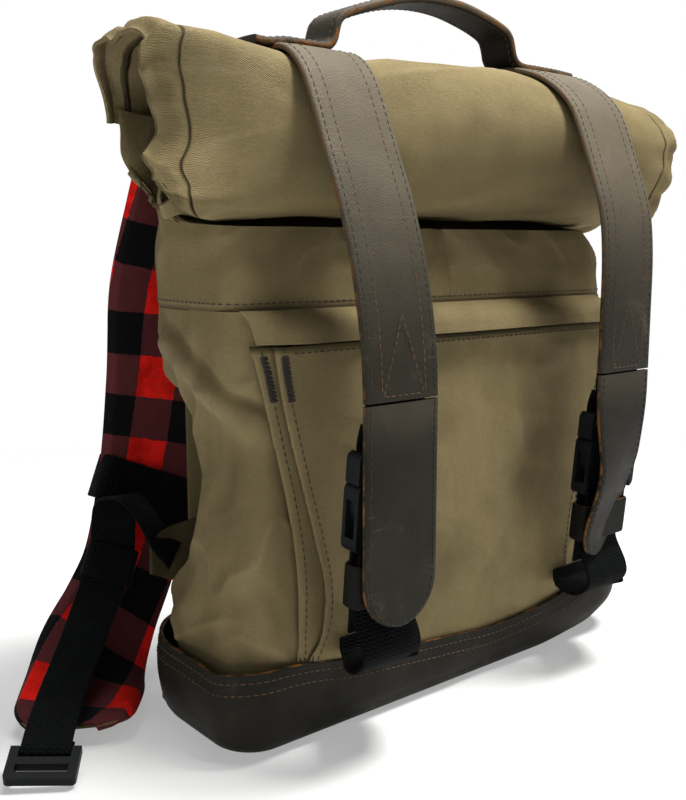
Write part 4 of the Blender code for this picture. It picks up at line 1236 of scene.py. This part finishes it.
class BACKPACK_OT_roll(bpy.types.Operator):
    """The rolled top: a spiral of canvas with slack folds, pressed in under the straps"""

    bl_idname = "backpack.roll"
    bl_label = "Rolled top"

    def execute(self, context):
        rumple = context.scene.backpack_sizes.rumple
        angles = np.linspace(ROLL_START, ROLL_END, 300)
        half = ROLL_LENGTH / 2
        end_part = 0.024
        fine = half - np.concatenate([np.linspace(end_part, 0.0175, 6), np.linspace(0.0165, 0.0135, 9),
                                      np.linspace(0.0125, 0, 17)])
        plain = np.linspace(-half + end_part, half - end_part, 92)[1:-1]
        across = np.concatenate([-fine[::-1], plain, fine])
        rows = []
        marks = []
        for angle in angles:
            turn = (angle - ROLL_START) / 360
            inner = float(ease((turn - 0.85) / 0.30))
            x = across.copy()
            size = np.abs(x)
            around = math.radians(angle) * 0.055
            cloth = columns(x, around, 0)
            soft = ripple(cloth, (0.075, 0.046, 1.0), 61, 3)
            sharp = crease(cloth + [0, 0.2, 0] * x[:, None], (0.10, 0.034, 1.0), 67)
            opening = float(ease(turn / 0.14))
            pucker = ripple(cloth, (0.060, 0.0190, 1.0), 71, 2) * opening
            press = bump(size, STRAP_X, 0.030) * (1 - inner)
            height = rumple * (0.55 * soft + 0.40 * sharp) * (1 - 0.8 * press) - 0.0014 * press
            gather = ease((size - 0.140) / 0.030)
            seam = bump(size, half - 0.0150, 0.0007)
            puff = ease((size - half + 0.0140) / 0.006)
            height = height + gather * 0.0014 * pucker - 0.0016 * seam + puff * (0.0016 + 0.0036 * pucker)
            height = height - 0.0060 * ease((size - half + 0.0060) / 0.0060)
            y, z = roll_point(angle, ROLL_OUTER + height - 0.0008)
            ends = ease((size - 0.112) / 0.064)
            y = ROLL_CENTRE[0] + (y - ROLL_CENTRE[0]) * (1 - inner * 0.12)
            z = z - (z - ROLL_CENTRE[1]) * inner * 0.20
            z = z - ease((z - ROLL_CENTRE[1]) / 0.03) * ends * np.where(x < 0, 0.0, 0.006)
            y, z = settle(x, y, z)
            wave = ripple([[0.0, around, 3.0], [0.0, around, 5.0]], (1.0, 0.022, 1.0), 73, 2) * opening
            low_back = float(ease((angle - 235) / 45) * ease((400 - angle) / 35))
            begin = 1 - float(ease((angle - ROLL_START) / 45))
            back_in = inner * (0.030 + 0.010 * turn) - 0.001 + 0.030 * low_back + 0.011 * begin
            inward = back_in + 0.0040 * np.where(x < 0, wave[0] + 0.5, wave[1]) - 0.008 * (1 - inner)
            x = x - np.sign(x) * inward * (size / half) ** 5
            rows.append(columns(x, y, z))
            slack = puff * pucker * 0.8 + gather * pucker * 0.3
            # Painted shade: the hem's seam groove and the inner turns get marks far below 0 and show dark.
            marks.append(soft * 0.4 + sharp * 0.7 - seam * 3.0 + slack - 1.6 * inner)
        rows = np.array(rows)[::-1]
        obj = lay_cloth("roll_cloth", rows, thickness=0.0020, marks={"fold": marks[::-1]})
        finish_piece(obj, "bag", "canvas", ["roll_top"])
        cut_cloth(rows)
        return {"FINISHED"}


class BACKPACK_OT_pocket(bpy.types.Operator):
    """Pleated front pocket with its hem, its bar tacks and the flap over its mouth"""

    bl_idname = "backpack.pocket"
    bl_label = "Front pocket"

    @staticmethod
    def folds(heights):
        """Half widths of the pocket's outer and inner folds at each height."""
        lines = (((0.030, 0.1118), (0.048, 0.1118), (0.098, 0.1133), (0.136, 0.1198),
                  (0.168, 0.1278), (0.215, 0.1388)),
                 ((0.030, 0.1080), (0.048, 0.1054), (0.061, 0.0998), (0.087, 0.0994),
                  (0.112, 0.1054), (0.143, 0.1140), (0.182, 0.1245), (0.215, 0.1305)))
        paths = [smooth_path(line, 90) for line in lines]
        return [np.interp(heights, path[:, 0], path[:, 1]) for path in paths]

    @staticmethod
    def profile(z, outer, inner):
        """X and Y across the pocket: at each side two folds open to the side, the front between them."""
        rise = (z - POCKET_LOW) / (POCKET_HIGH - POCKET_LOW)
        tall = 0.26 + 0.34 * float(ease((z - 0.040) / 0.022)) + 0.40 * float(ease(rise / 0.22))
        back = -BODY_HALF_DEPTH - 0.0012
        lip = [(0.012, 0.0), (0.007, 0.0004), (0.0030, 0.0014), (0.0002, 0.0023), (-0.0008, 0.0032),
               (-0.0004, 0.0042), (0.0008, 0.0046), (0.0030, 0.0048)]
        left = [(-outer + x, back - y * tall) for x, y in lip]
        first = left[-1][1]
        left += [(-inner - 0.0015, first), (-inner + 0.0120, first + 0.0003)]
        left += [(-inner + x, first - 0.0004 - y * tall) for x, y in lip]
        right = [(-x, y) for x, y in reversed(left)]
        front = left[-1][1]
        middle = [(x, front) for x in np.linspace(-inner + 0.010, inner - 0.010, 30)]
        return np.array(left + middle + right)

    def execute(self, context):
        heights = np.linspace(POCKET_FOOT, POCKET_MOUTH, 104)
        rows = []
        marks = []
        outer, inner = self.folds(heights)
        for k, z in enumerate(heights):
            line = respace(self.profile(z, outer[k], inner[k]), 420)
            x, y = line[:, 0], line[:, 1]
            under = (np.gradient(x) < 0).astype(float)
            inner_part = ease((0.096 - np.abs(x)) / 0.02) * (y < -BODY_HALF_DEPTH - 0.003)
            place = columns(x, 0, z)
            slant = place + (z * -0.45, 0, 0)
            soft = ripple(slant, (0.050, 1.0, 0.070), 81, 3)
            sharp = crease(slant, (0.060, 1.0, 0.120), 87)
            cross = crease(place + columns(0, 0, x * 0.35), (0.10, 1.0, 0.034), 89)
            calm = ease((POCKET_MOUTH - z) / 0.02) * ease((z - 0.045) / 0.03)
            height = (0.0024 * soft + 0.0009 * sharp + 0.0014 * cross) * calm * (0.20 + 0.80 * inner_part)
            height = height + 0.0026 * inner_part * math.sin(math.pi * (z - 0.033) / 0.18) ** 2
            y = y - height + 0.0016 * ease((0.046 - z) / 0.012) + corner_drop(x)
            rows.append(columns(x, y, z))
            mouth = float(ease((z - 0.2092) / 0.0016))
            rubbed = (soft * 0.4 + sharp * 0.3 + cross * 0.4) * (0.3 + 0.7 * inner_part)
            # Painted shadow: the pleats' folded-back layers and the strip under the flap get marks far
            # below 0 and show nearly black.
            marks.append(rubbed - 2.2 * under - 2.4 * mouth)
        rows = np.array(rows)
        pocket = lay_cloth("pocket_cloth", rows, thickness=0.0010, marks={"fold": marks})
        finish_piece(pocket, "bag", "canvas", ["pocket_panel"])
        cut_cloth(rows)
        self.stitches(rows, heights)
        self.flap()
        return {"FINISHED"}

    def stitches(self, rows, heights):
        """Rows of stitches beside the folds and under the hem, and the bar tacks at the folds' tops."""
        normals = grid_normals(rows)
        folds = self.folds(heights)
        hem = 0.2078
        beside = 0.0028
        tack = 0.0052
        lines = []
        tacks = []
        for fold in (0, 1):
            for sign in (-1, 1):
                line = []
                for k in range(len(heights)):
                    want = folds[fold][k] - beside
                    near = np.abs(rows[k, :, 0] - sign * want)
                    close = near < 0.0012
                    line.append(int(np.argmin(np.where(close, rows[k, :, 1], near + 1.0))))
                index = np.arange(len(heights))
                points = soften(rows[index, line] + normals[index, line] * 0.0004, 13)
                lines.append((points, normals[index, line]))
                for place in np.linspace(len(heights) - 16, len(heights) - 4, 22):
                    k = int(place)
                    middle = points[k] + (points[k + 1] - points[k]) * (place - k) - (0, 0.0004, 0)
                    first = middle - (tack / 2, 0, 0)
                    last = first + (tack, 0, 0.0004 * (-1) ** int(place * 2))
                    facing = np.tile(normals[k, line[k]], (2, 1))
                    tacks.append((np.array([first, last]), facing))
        k = int(np.argmin(np.abs(heights - hem)))
        inside = (np.abs(rows[k, :, 0]) < 0.121) & (rows[k, :, 1] < -0.0600)
        lines.append((rows[k][inside] + normals[k][inside] * 0.0003, normals[k][inside]))
        sew("pocket_stitches", lines, "bag", "canvas_thread")
        sew("pocket_tacks", tacks, "bag", "canvas_thread", pitch=tack, length=0.0050, radius=0.0006)

    @staticmethod
    def flap():
        """Straight flap over the pocket's mouth, crumpled at its right end."""
        path = smooth_path([(FLAP_ROOT, 0.2290), (-0.0570, 0.2278), (-0.0632, 0.2238), (-0.0668, 0.2190),
                            (-0.0680, 0.2132)], 26)
        across = np.linspace(-1, 1, 210)
        rows = []
        marks = []
        for k, (y, z) in enumerate(path):
            down = k / (len(path) - 1)
            x = np.where(across < 0, across * (0.1405 - 0.003 * down), across * 0.127)
            place = columns(x, 0, down * 0.02)
            soft = ripple(place, (0.060, 1.0, 0.04), 91, 3)
            crumple = ease((x - 0.090) / 0.025)
            sharp = crease(place, (0.018, 1.0, 0.025), 97) + 0.05
            out = 0.0006 * soft * down + crumple * 0.0028 * sharp * down
            lip = 0.0005 * float(bump(down, 0.97, 0.10))
            flat = 1 - 0.55 * ease((-x - 0.112) / 0.026)
            y_out = FLAP_ROOT + (y - FLAP_ROOT) * flat + corner_drop(x)
            rows.append(columns(x, y_out - out - lip, z + 0.0014 * crumple * sharp * down))
            marks.append(soft * 0.4 + crumple * sharp)
        rows = np.array(rows)[::-1]
        flap = lay_cloth("flap_cloth", rows, thickness=0.0018, marks={"fold": marks[::-1]})
        finish_piece(flap, "flap", "canvas", ["pocket_flap"])
        cut_cloth(rows)


class BACKPACK_OT_closure_straps(bpy.types.Operator):
    """Leather closure straps with their loose tabs and rows of stitches"""

    bl_idname = "backpack.closure_straps"
    bl_label = "Closure straps"

    def execute(self, context):
        pitch = context.scene.backpack_sizes.stitch
        for side, sign, twist, curl in (("left", -1, 0.0, 0.0), ("right", 1, 0.28, 0.010)):
            self.strap(side, sign, pitch)
            self.tab(side, sign, twist, curl, pitch)
        return {"FINISHED"}

    @staticmethod
    def strap(side, sign, pitch):
        """Strap over the roll, with two rows of stitches along each edge and a sewn triangle at its end."""
        route = strap_route(side, sign * STRAP_X)
        # Paler towards the top of the strap: partly the pull-up of leather bent over the roll, partly a
        # painted highlight from the top light.
        wear_and_highlight = ease((route.centre[:, 2] - 0.205) / 0.13) * 0.85 + 0.08
        name = side + "_strap_leather"
        strap = cut_strap(name, route, STRAP_WIDTH, STRAP_THICKNESS, STRAP_CROWN, wear_and_highlight=wear_and_highlight)
        finish_piece(strap, "bag", "leather", [side + "_closure_strap"])
        face = STRAP_THICKNESS / 2
        outer = []
        lines = []
        for inset, rows in ((0.0032, outer), (0.0098, lines)):
            above = face + STRAP_CROWN * (1 - (1 - 2 * inset / STRAP_WIDTH) ** 2)
            for edge in (-1, 1):
                line = route.at(edge * (STRAP_WIDTH / 2 - inset), above)
                rows.append((line[:-2], route.normal[:-2]))
        part = np.linspace(0, 1, 12)
        corners = np.array([(-0.0128, -0.0025), (0.0, -0.040), (0.0128, -0.0025), (-0.0128, -0.0025)])
        for first, last in zip(corners[:-1], corners[1:]):
            place = first + np.outer(part, last - first)
            spread = np.outer(place[:, 0], route.side[-1]) + np.outer(place[:, 1], route.along[-1])
            line = route.centre[-1] + spread + route.normal[-1] * (face + 0.0003)
            lines.append((line, np.tile(route.normal[-1], (len(part), 1))))
        sew(side + "_strap_stitches", lines, "bag", "leather_thread", pitch)
        sew(side + "_edge_stitches", outer, "bag", "canvas_thread", pitch)

    @staticmethod
    def tab(side, sign, twist, curl, pitch):
        """Loose end of the strap, round at its tip, with stitches round its edge."""
        body = side + "_tab"
        radius = STRAP_WIDTH / 2
        straight = TAB_LENGTH - radius
        tip = straight + radius * np.sin(np.radians(np.linspace(4, 88, 22)))
        depth = np.concatenate([np.linspace(0, straight, 40), tip])
        past = np.clip(depth - straight, 0, None)
        widths = 2 * np.sqrt(np.maximum(radius ** 2 - past ** 2, 1e-8))
        bend = curl * ease((depth - 0.045) / 0.065) * 0.9
        line = columns(sign * STRAP_X - bend, STRAP_FRONT + bend, STRAP_STEP - TAB_SLIT - depth)
        turn = twist * ease((depth - 0.010) / 0.070)
        route = Route(line, columns(-np.cos(turn), -np.sin(turn), 0))
        # Paler at the tab's top end: partly wear, partly a painted highlight on the edge of the step.
        wear_and_highlight = 0.24 * bump(depth, 0.0, 0.016) + 0.02
        thickness = STRAP_THICKNESS - 0.0002
        tab = cut_strap(body + "_leather", route, STRAP_WIDTH, thickness, STRAP_CROWN, widths, wear_and_highlight=wear_and_highlight)
        finish_piece(tab, body, "leather", [side + "_closure_tab"])
        half = np.maximum(widths / 2 - 0.0030, 0.0)
        keep = widths > 0.010
        above = STRAP_THICKNESS / 2 + 0.0001
        line = np.vstack([route.at(-half, above)[keep], route.at(half, above)[keep][::-1]])
        facing = np.vstack([route.normal[keep], route.normal[keep][::-1]])
        sew(body + "_stitches", [(line, facing)], body, "canvas_thread", pitch)


class BACKPACK_OT_closure_webbing(bpy.types.Operator):
    """Webbing from the base to each buckle and from the buckle to its strap, with the leather keeper"""

    bl_idname = "backpack.closure_webbing"
    bl_label = "Closure webbing"

    def execute(self, context):
        low_bar = BUCKLE_LOW + BAR_INSET
        high_bar = BUCKLE_LOW + RECEIVER_LENGTH + PLUG_GAP + PLUG_LENGTH - BAR_INSET
        face = -BASE_HALF_DEPTH - 0.0024
        loop = ((0.0030, 0.0560), (0.0032, 0.0500), (0.0050, 0.0472), (0.0120, 0.0474), (0.0250, 0.0500),
                (0.0370, 0.0538), (0.0425, 0.0602), (0.0416, 0.0680))
        lower = [(face - ahead, z) for ahead, z in loop]
        lower += [on_line(-LAYERS_APART, 0.036), on_line(-LAYERS_APART, 0.046)]
        lower += [on_line(-WRAP_RADIUS, 0.062)]
        lower += wrap_points(low_bar, 180, 0)
        lower += [on_line(WRAP_RADIUS, 0.062), on_line(LAYERS_APART, 0.040), on_line(LAYERS_APART, 0.026)]
        upper = [on_line(-LAYERS_APART, LINE_LENGTH - 0.012), on_line(-WRAP_RADIUS, high_bar + 0.006)]
        upper += wrap_points(high_bar, 180, 360)
        upper += [on_line(WRAP_RADIUS, high_bar + 0.006), on_line(LAYERS_APART, LINE_LENGTH - 0.018)]
        up = np.array([0.0, *LINE_UP])
        behind = np.array([0.0, LINE_UP[1], -LINE_UP[0]])
        for side, sign in SIDES:
            x = sign * STRAP_X
            strap = strap_route(side, x).centre[-60:]
            sewn = []
            for z in (STRAP_STEP + 0.034, STRAP_STEP + 0.020, STRAP_STEP + 0.006):
                face_y = float(np.interp(-z, -strap[:, 2], strap[:, 1]))
                sewn.append((face_y + STRAP_THICKNESS / 2 + 0.0002 + WEBBING / 2, z))
            for name, path in (("lower_webbing", lower), ("upper_webbing", sewn + upper)):
                line = smooth_path([(x, y, z) for y, z in path], 130)
                line[:, 0] += 0.018 * ease((line[:, 1] + 0.098) / 0.035) * (line[:, 2] < 0.070)
                route = Route(line, (1, 0, 0))
                obj = cut_strap(side + "_" + name + "_weave", route, WEBBING_WIDTH, WEBBING)
                finish_piece(obj, "bag", "webbing", [side + "_" + name])
            middle = np.array([x, *on_line(0.0, 0.051)])
            axes = (np.array([1.0, 0, 0]), behind, up)
            keeper = wrap_band(side + "_keeper_leather", middle, *axes, *WEBBING_KEEPER)
            finish_piece(keeper, "bag", "leather", [side + "_webbing_keeper"])
        return {"FINISHED"}


class BACKPACK_OT_buckles(bpy.types.Operator):
    """Moulded finish on the buckles and on the ladder locks"""

    bl_idname = "backpack.buckles"
    bl_label = "Buckles and locks"

    def execute(self, context):
        names = ("buckle_receiver", "buckle_plug", "buckle_arm_outer", "buckle_arm_inner", "ladder_lock")
        for side, _ in SIDES:
            for name in names:
                coat(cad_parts[side + "_" + name], "plastic")
        return {"FINISHED"}


class BACKPACK_OT_handle(bpy.types.Operator):
    """Leather carrying handle that arches over the roll, stitched along its edges"""

    bl_idname = "backpack.handle"
    bl_label = "Handle"

    def execute(self, context):
        low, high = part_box("handle")
        half = HANDLE_THICKNESS / 2
        y = (low[1] + high[1]) / 2
        rest = low[2] + half
        top = high[2] - half
        path = [(-0.1215, rest - 0.0036), (-0.113, rest - 0.0030), (-0.102, rest - 0.0006), (-0.088, rest),
                (-0.0805, rest), (-0.0755, rest + 0.0010), (-0.0725, rest + 0.0045),
                (-0.0712, rest + 0.0090), (-0.0690, top - 0.0140), (-0.0630, top - 0.0105),
                (-0.046, top - 0.0062), (-0.024, top - 0.0018), (-0.002, top), (0.020, top - 0.0010),
                (0.040, top - 0.0050), (0.0545, top - 0.0095), (0.0600, top - 0.0130),
                (0.0625, rest + 0.0095), (0.0640, rest + 0.0045), (0.0675, rest + 0.0006),
                (0.0740, rest - 0.0012), (0.088, rest - 0.0014), (0.1050, rest - 0.0016),
                (0.1180, rest - 0.0022)]
        line = smooth_path([(x, y, z) for x, z in path], 170)
        line[:, 2] = settle(line[:, 0], line[:, 1], line[:, 2])[1] - 0.0012
        route = Route(line, (0, -1, 0))
        # Paler towards the top of the arch: partly wear, partly a painted highlight where the top light
        # falls.
        wear_and_highlight = 0.25 + 0.45 * ease((route.centre[:, 2] - rest - 0.004) / 0.02)
        handle = cut_strap("handle_leather", route, HANDLE_WIDTH, HANDLE_THICKNESS, 0.0003, wear_and_highlight=wear_and_highlight)
        finish_piece(handle, "bag", "leather", ["handle"])
        lines = []
        for edge in (-1, 1):
            beside = edge * (HANDLE_WIDTH / 2 - 0.003)
            lines.append((route.at(beside, half + 0.0001), route.normal))
            lines.append((route.at(beside, -half - 0.00005), -route.normal))
        pitch = context.scene.backpack_sizes.stitch
        sew("handle_stitches", lines, "bag", "leather_thread", pitch)
        return {"FINISHED"}


class BACKPACK_OT_back_pad(bpy.types.Operator):
    """Padded back with sewn channels"""

    bl_idname = "backpack.back_pad"
    bl_label = "Back pad"

    def execute(self, context):
        low, high = (np.array(v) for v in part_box("back_pad"))
        middle = (low + high) / 2
        half = (high - low) / 2
        rows = []
        marks = []
        around = np.linspace(0, 1, 241)
        deep = high[1] - low[1]
        levels = [(0.0, 0.004), (0.25, 0.0), (0.5, 0.0), (0.72, 0.001), (0.86, 0.0032), (0.93, 0.0055),
                  (0.97, 0.0095)]
        levels += [(1.0, inset) for inset in (0.016, 0.026, 0.038, 0.052, 0.066, 0.080)]
        for level, inset in levels:
            radius = max(0.030 - inset, 0.006)
            x, z = rounded_loop(around, half[0] - inset, half[2] - inset, radius, radius)
            place = columns(x, 0, z)
            puff = ripple(place, (0.030, 1.0, 0.030), 131, 2)
            channel = sum(bump(x, c, 0.0035) for c in (-0.055, 0.0, 0.055))
            rise = level * deep + (level > 0.9) * (0.0008 * puff - 0.0030 * np.clip(channel, 0, 1))
            rows.append(columns(-x + middle[0], low[1] + rise, z + middle[2]))
            # Painted shade: the channels get a lower fold mark and show darker.
            marks.append(puff * 0.3 - channel * 0.5 * (level > 0.9))
        pad = lay_cloth("back_pad_cloth", rows, closed=True, caps=True, marks={"fold": marks})
        finish_piece(pad, "bag", "canvas_pad", ["back_pad"])
        return {"FINISHED"}


class BACKPACK_OT_shoulder_straps(bpy.types.Operator):
    """Padded shoulder straps with their plaid lining, band, loose webbing and keeper"""

    bl_idname = "backpack.shoulder_straps"
    bl_label = "Shoulder straps"

    def execute(self, context):
        for side, sign in SIDES:
            body = side + "_strap"
            route = pad_route(side)
            run = route.run
            left = run[-1] - run
            end = np.sqrt(np.clip(1 - ((0.016 - left).clip(0) / 0.016) ** 2, 0.05, 1))
            start = np.sqrt(np.clip(1 - ((0.004 - run).clip(0) / 0.004) ** 2, 0.05, 1))
            width = 0.35 + 0.65 * end
            thick = np.minimum(end, start)
            angles = np.linspace(0, 2 * math.pi, 49)
            across = np.sign(np.cos(angles)) * np.abs(np.cos(angles)) ** 0.45
            above = np.sign(np.sin(angles)) * np.abs(np.sin(angles)) ** 0.6
            rows = []
            marks = []
            for k in range(len(run)):
                a = across * PAD_WIDTH / 2 * width[k]
                cloth = columns(a, run[k], 0)
                puff = ripple(cloth, (0.035, 0.045, 1.0), 101, 2)
                half = PAD_THICKNESS / 2
                swell = np.where(above > 0, 0.0008 * puff, 0.0)
                b = half + above * (half * thick[k]) * 0.98 + swell
                rows.append(route.centre[k] + np.outer(a, route.side[k]) + np.outer(b, route.normal[k]))
                marks.append(puff * 0.5)
            pad = lay_cloth(side + "_pad_canvas", rows, closed=True, caps=True, marks={"fold": marks})
            finish_piece(pad, body, "canvas_pad", [side + "_shoulder_pad"])
            self.lining(side, body, route, width)
            self.webbing(side, sign, body, route)
        return {"FINISHED"}

    @staticmethod
    def lining(side, body, route, width):
        """Plaid sheet over the inner face, turned round the pad's edges."""
        share = np.linspace(-1, 1, 61)
        rows = []
        marks = []
        edge = ease((np.abs(share) - 0.86) / 0.14)
        for k in range(len(route.run)):
            a = share * (PAD_WIDTH / 2 + 0.0009) * width[k]
            cloth = columns(a, route.run[k], 0)
            puff = ripple(cloth, (0.026, 0.034, 1.0), 111, 2)
            tip = ease((0.008 - (route.run[-1] - route.run[k])) / 0.008)
            b = -0.0012 - 0.0007 * puff * (1 - edge) + 0.0052 * edge ** 2 + 0.003 * tip
            rows.append(route.centre[k] + np.outer(a, route.side[k]) + np.outer(b, route.normal[k]))
            marks.append(puff)
        rows = np.array(rows)[:, ::-1]
        marks = np.array(marks)[:, ::-1]
        obj = lay_cloth(side + "_lining_cloth", rows, thickness=0.0009, marks={"fold": marks})
        finish_piece(obj, body, "plaid", [side + "_strap_lining"])
        cut_cloth(rows)

    @staticmethod
    def webbing(side, sign, body, route):
        """Band round the pad, loose webbing with its keeper."""
        k = int(np.argmin(np.abs(route.centre[:, 2] - BAND_HEIGHT[side])))
        across = unit(route.side[k] + route.along[k] * BAND_SLANT[side])
        axes = (across, route.normal[k], np.cross(route.normal[k], across))
        middle = route.centre[k] + route.normal[k] * BAND_MIDDLE
        band = wrap_band(side + "_band_weave", middle, *axes, *PAD_BAND)
        finish_piece(band, body, "webbing", [side + "_pad_band"])
        start = route.centre[k] + route.side[k] * sign * PAD_WIDTH * 0.26
        tail = turning_route(*tail_line(side, (start, *axes)), 120)
        bar = tail.centre[-1] + tail.normal[-1] * WRAP_RADIUS
        angles = np.radians(np.linspace(180, 0, 12))[1:]
        out = tail.normal[-1] * WRAP_RADIUS
        on = tail.along[-1] * WRAP_RADIUS
        turn = [bar + out * math.cos(a) + on * math.sin(a) for a in angles]
        turn += [turn[-1] - tail.along[-1] * 0.008]
        centres = np.vstack([tail.centre, turn])
        sides = np.vstack([tail.side, np.tile(tail.side[-1], (len(turn), 1))])
        obj = cut_strap(side + "_tail_weave", Route(centres, sides), ADJUSTER_WIDTH, WEBBING)
        finish_piece(obj, body, "webbing", [side + "_strap_tail"])
        k = int(len(tail.run) * TAIL_KEEPER_PLACE[side])
        axes = (tail.side[k], tail.normal[k], tail.along[k])
        keeper = wrap_band(side + "_keeper_weave", tail.centre[k], *axes, *TAIL_KEEPER)
        finish_piece(keeper, body, "webbing", [side + "_tail_keeper"])


class BACKPACK_OT_adjusters(bpy.types.Operator):
    """Canvas wings at the back seams and the webbing from them to the shoulder straps"""

    bl_idname = "backpack.adjusters"
    bl_label = "Adjusters"

    def execute(self, context):
        for side, sign in SIDES:
            tip = self.wing(side, sign)
            points, sides = self.arch() if side == "left" else self.reach(side, sign, tip)
            route = turning_route(points, sides, 80)
            obj = cut_strap(side + "_adjuster_weave", route, ADJUSTER_WIDTH, WEBBING)
            coat(obj, "webbing")
            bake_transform(obj)
            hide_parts(side + "_adjuster_webbing")
        return {"FINISHED"}

    @staticmethod
    def wing(side, sign):
        """Canvas wing that stands out from the back seam, and the place of its tip."""
        low, high = (np.array(v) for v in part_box(side + "_side_wing"))
        root = WING_ROOT[side]
        tip = -0.1485 if side == "left" else high[0]
        y = 0.032
        rows = []
        for t in np.linspace(0, 1, 18):
            x = root + (tip - root) * t
            low_z = low[2] - 0.004 + (0.0835 - low[2]) * t
            high_z = high[2] + (0.1000 - high[2]) * t
            z = np.linspace(low_z, high_z, 18)
            rows.append(columns(x, y + 0.0016 * np.sin(7 * t + 40 * z), z))
        rows = np.array(rows)
        if sign > 0:
            rows = rows[::-1]
        # The fold mark is set below 0 on the whole, which adds painted shade.
        marks = {"fold": ripple(rows, 0.02, 121, 2).reshape(rows.shape[:2]) * 0.6 - 0.3}
        wing = lay_cloth(side + "_wing_cloth", rows, thickness=0.0022, marks=marks)
        finish_piece(wing, "bag", "canvas_wing_in_painted_shade", [side + "_side_wing"])
        cut_cloth(rows)
        return np.array([tip + sign * 0.0003, y, 0.092])

    @staticmethod
    def arch():
        """Left webbing: up from the wing in a tight arch and down to its loose end."""
        points = [(-0.1330, 0.0306, 0.0900), (-0.1415, 0.0330, 0.0985), (-0.1475, 0.0420, 0.1130),
                  (-0.1515, 0.0520, 0.1205), (-0.1545, 0.0610, 0.1155), ARCH_END]
        sides = [(0.20, 0.45, 0.85), (0.45, 0.70, 0.50), (0.65, 0.75, 0.10), (0.80, 0.55, -0.10),
                 (0.88, 0.05, -0.20), (0.90, -0.38, -0.20)]
        return points, sides

    @staticmethod
    def reach(side, sign, tip):
        """Webbing straight from the wing's tip to the band round the pad."""
        route = pad_route(side)
        k = int(np.argmin(np.abs(route.centre[:, 2] - BAND_HEIGHT[side])))
        away = route.side[k] * sign
        face = route.centre[k] + route.normal[k] * BAND_MIDDLE + away * 0.0359
        leave = tip - face
        leave = unit(leave - away * leave.dot(away))
        lap = np.cross(leave, away) * sign
        points = [tip, tip + np.array([sign * 0.005, 0, 0]), tip + np.array([sign * 0.010, 0.013, 0.0]),
                  face + leave * 0.013 + away * 0.0045, face]
        return points, [(0, 0, 1)] * 3 + [tuple(lap)] * 2


class BACKPACK_PT_panel(bpy.types.Panel):
    """Pieces of the backpack, in the order in which they are made"""

    bl_idname = "BACKPACK_PT_panel"
    bl_label = "Backpack"
    bl_space_type = "VIEW_3D"
    bl_region_type = "UI"
    bl_category = "Backpack"

    def draw(self, context):
        layout = self.layout
        for group in (context.scene.backpack_colours, context.scene.backpack_sizes):
            box = layout.box()
            for key in group.__annotations__:
                box.prop(group, key)
        for operator in OPERATORS:
            layout.operator(operator.bl_idname)


OPERATORS = (
    BACKPACK_OT_stage,
    BACKPACK_OT_base,
    BACKPACK_OT_body,
    BACKPACK_OT_collar,
    BACKPACK_OT_roll,
    BACKPACK_OT_pocket,
    BACKPACK_OT_closure_straps,
    BACKPACK_OT_closure_webbing,
    BACKPACK_OT_buckles,
    BACKPACK_OT_handle,
    BACKPACK_OT_back_pad,
    BACKPACK_OT_shoulder_straps,
    BACKPACK_OT_adjusters,
)
CLASSES = (BackpackColours, BackpackSizes, *OPERATORS, BACKPACK_PT_panel)


def register():
    """Register the classes and their settings."""
    for item in CLASSES:
        bpy.utils.register_class(item)
    bpy.types.Scene.backpack_colours = bpy.props.PointerProperty(type=BackpackColours)
    bpy.types.Scene.backpack_sizes = bpy.props.PointerProperty(type=BackpackSizes)


def unregister():
    """Remove the classes and their settings."""
    del bpy.types.Scene.backpack_sizes
    del bpy.types.Scene.backpack_colours
    for item in reversed(CLASSES):
        bpy.utils.unregister_class(item)


def main():
    """Make every piece."""
    register()
    bpy.ops.backpack.stage()
    bpy.ops.backpack.base()
    bpy.ops.backpack.body()
    bpy.ops.backpack.collar()
    bpy.ops.backpack.roll()
    bpy.ops.backpack.pocket()
    bpy.ops.backpack.closure_straps()
    bpy.ops.backpack.closure_webbing()
    bpy.ops.backpack.buckles()
    bpy.ops.backpack.handle()
    bpy.ops.backpack.back_pad()
    bpy.ops.backpack.shoulder_straps()
    bpy.ops.backpack.adjusters()


if __name__ == "__main__":
    main()
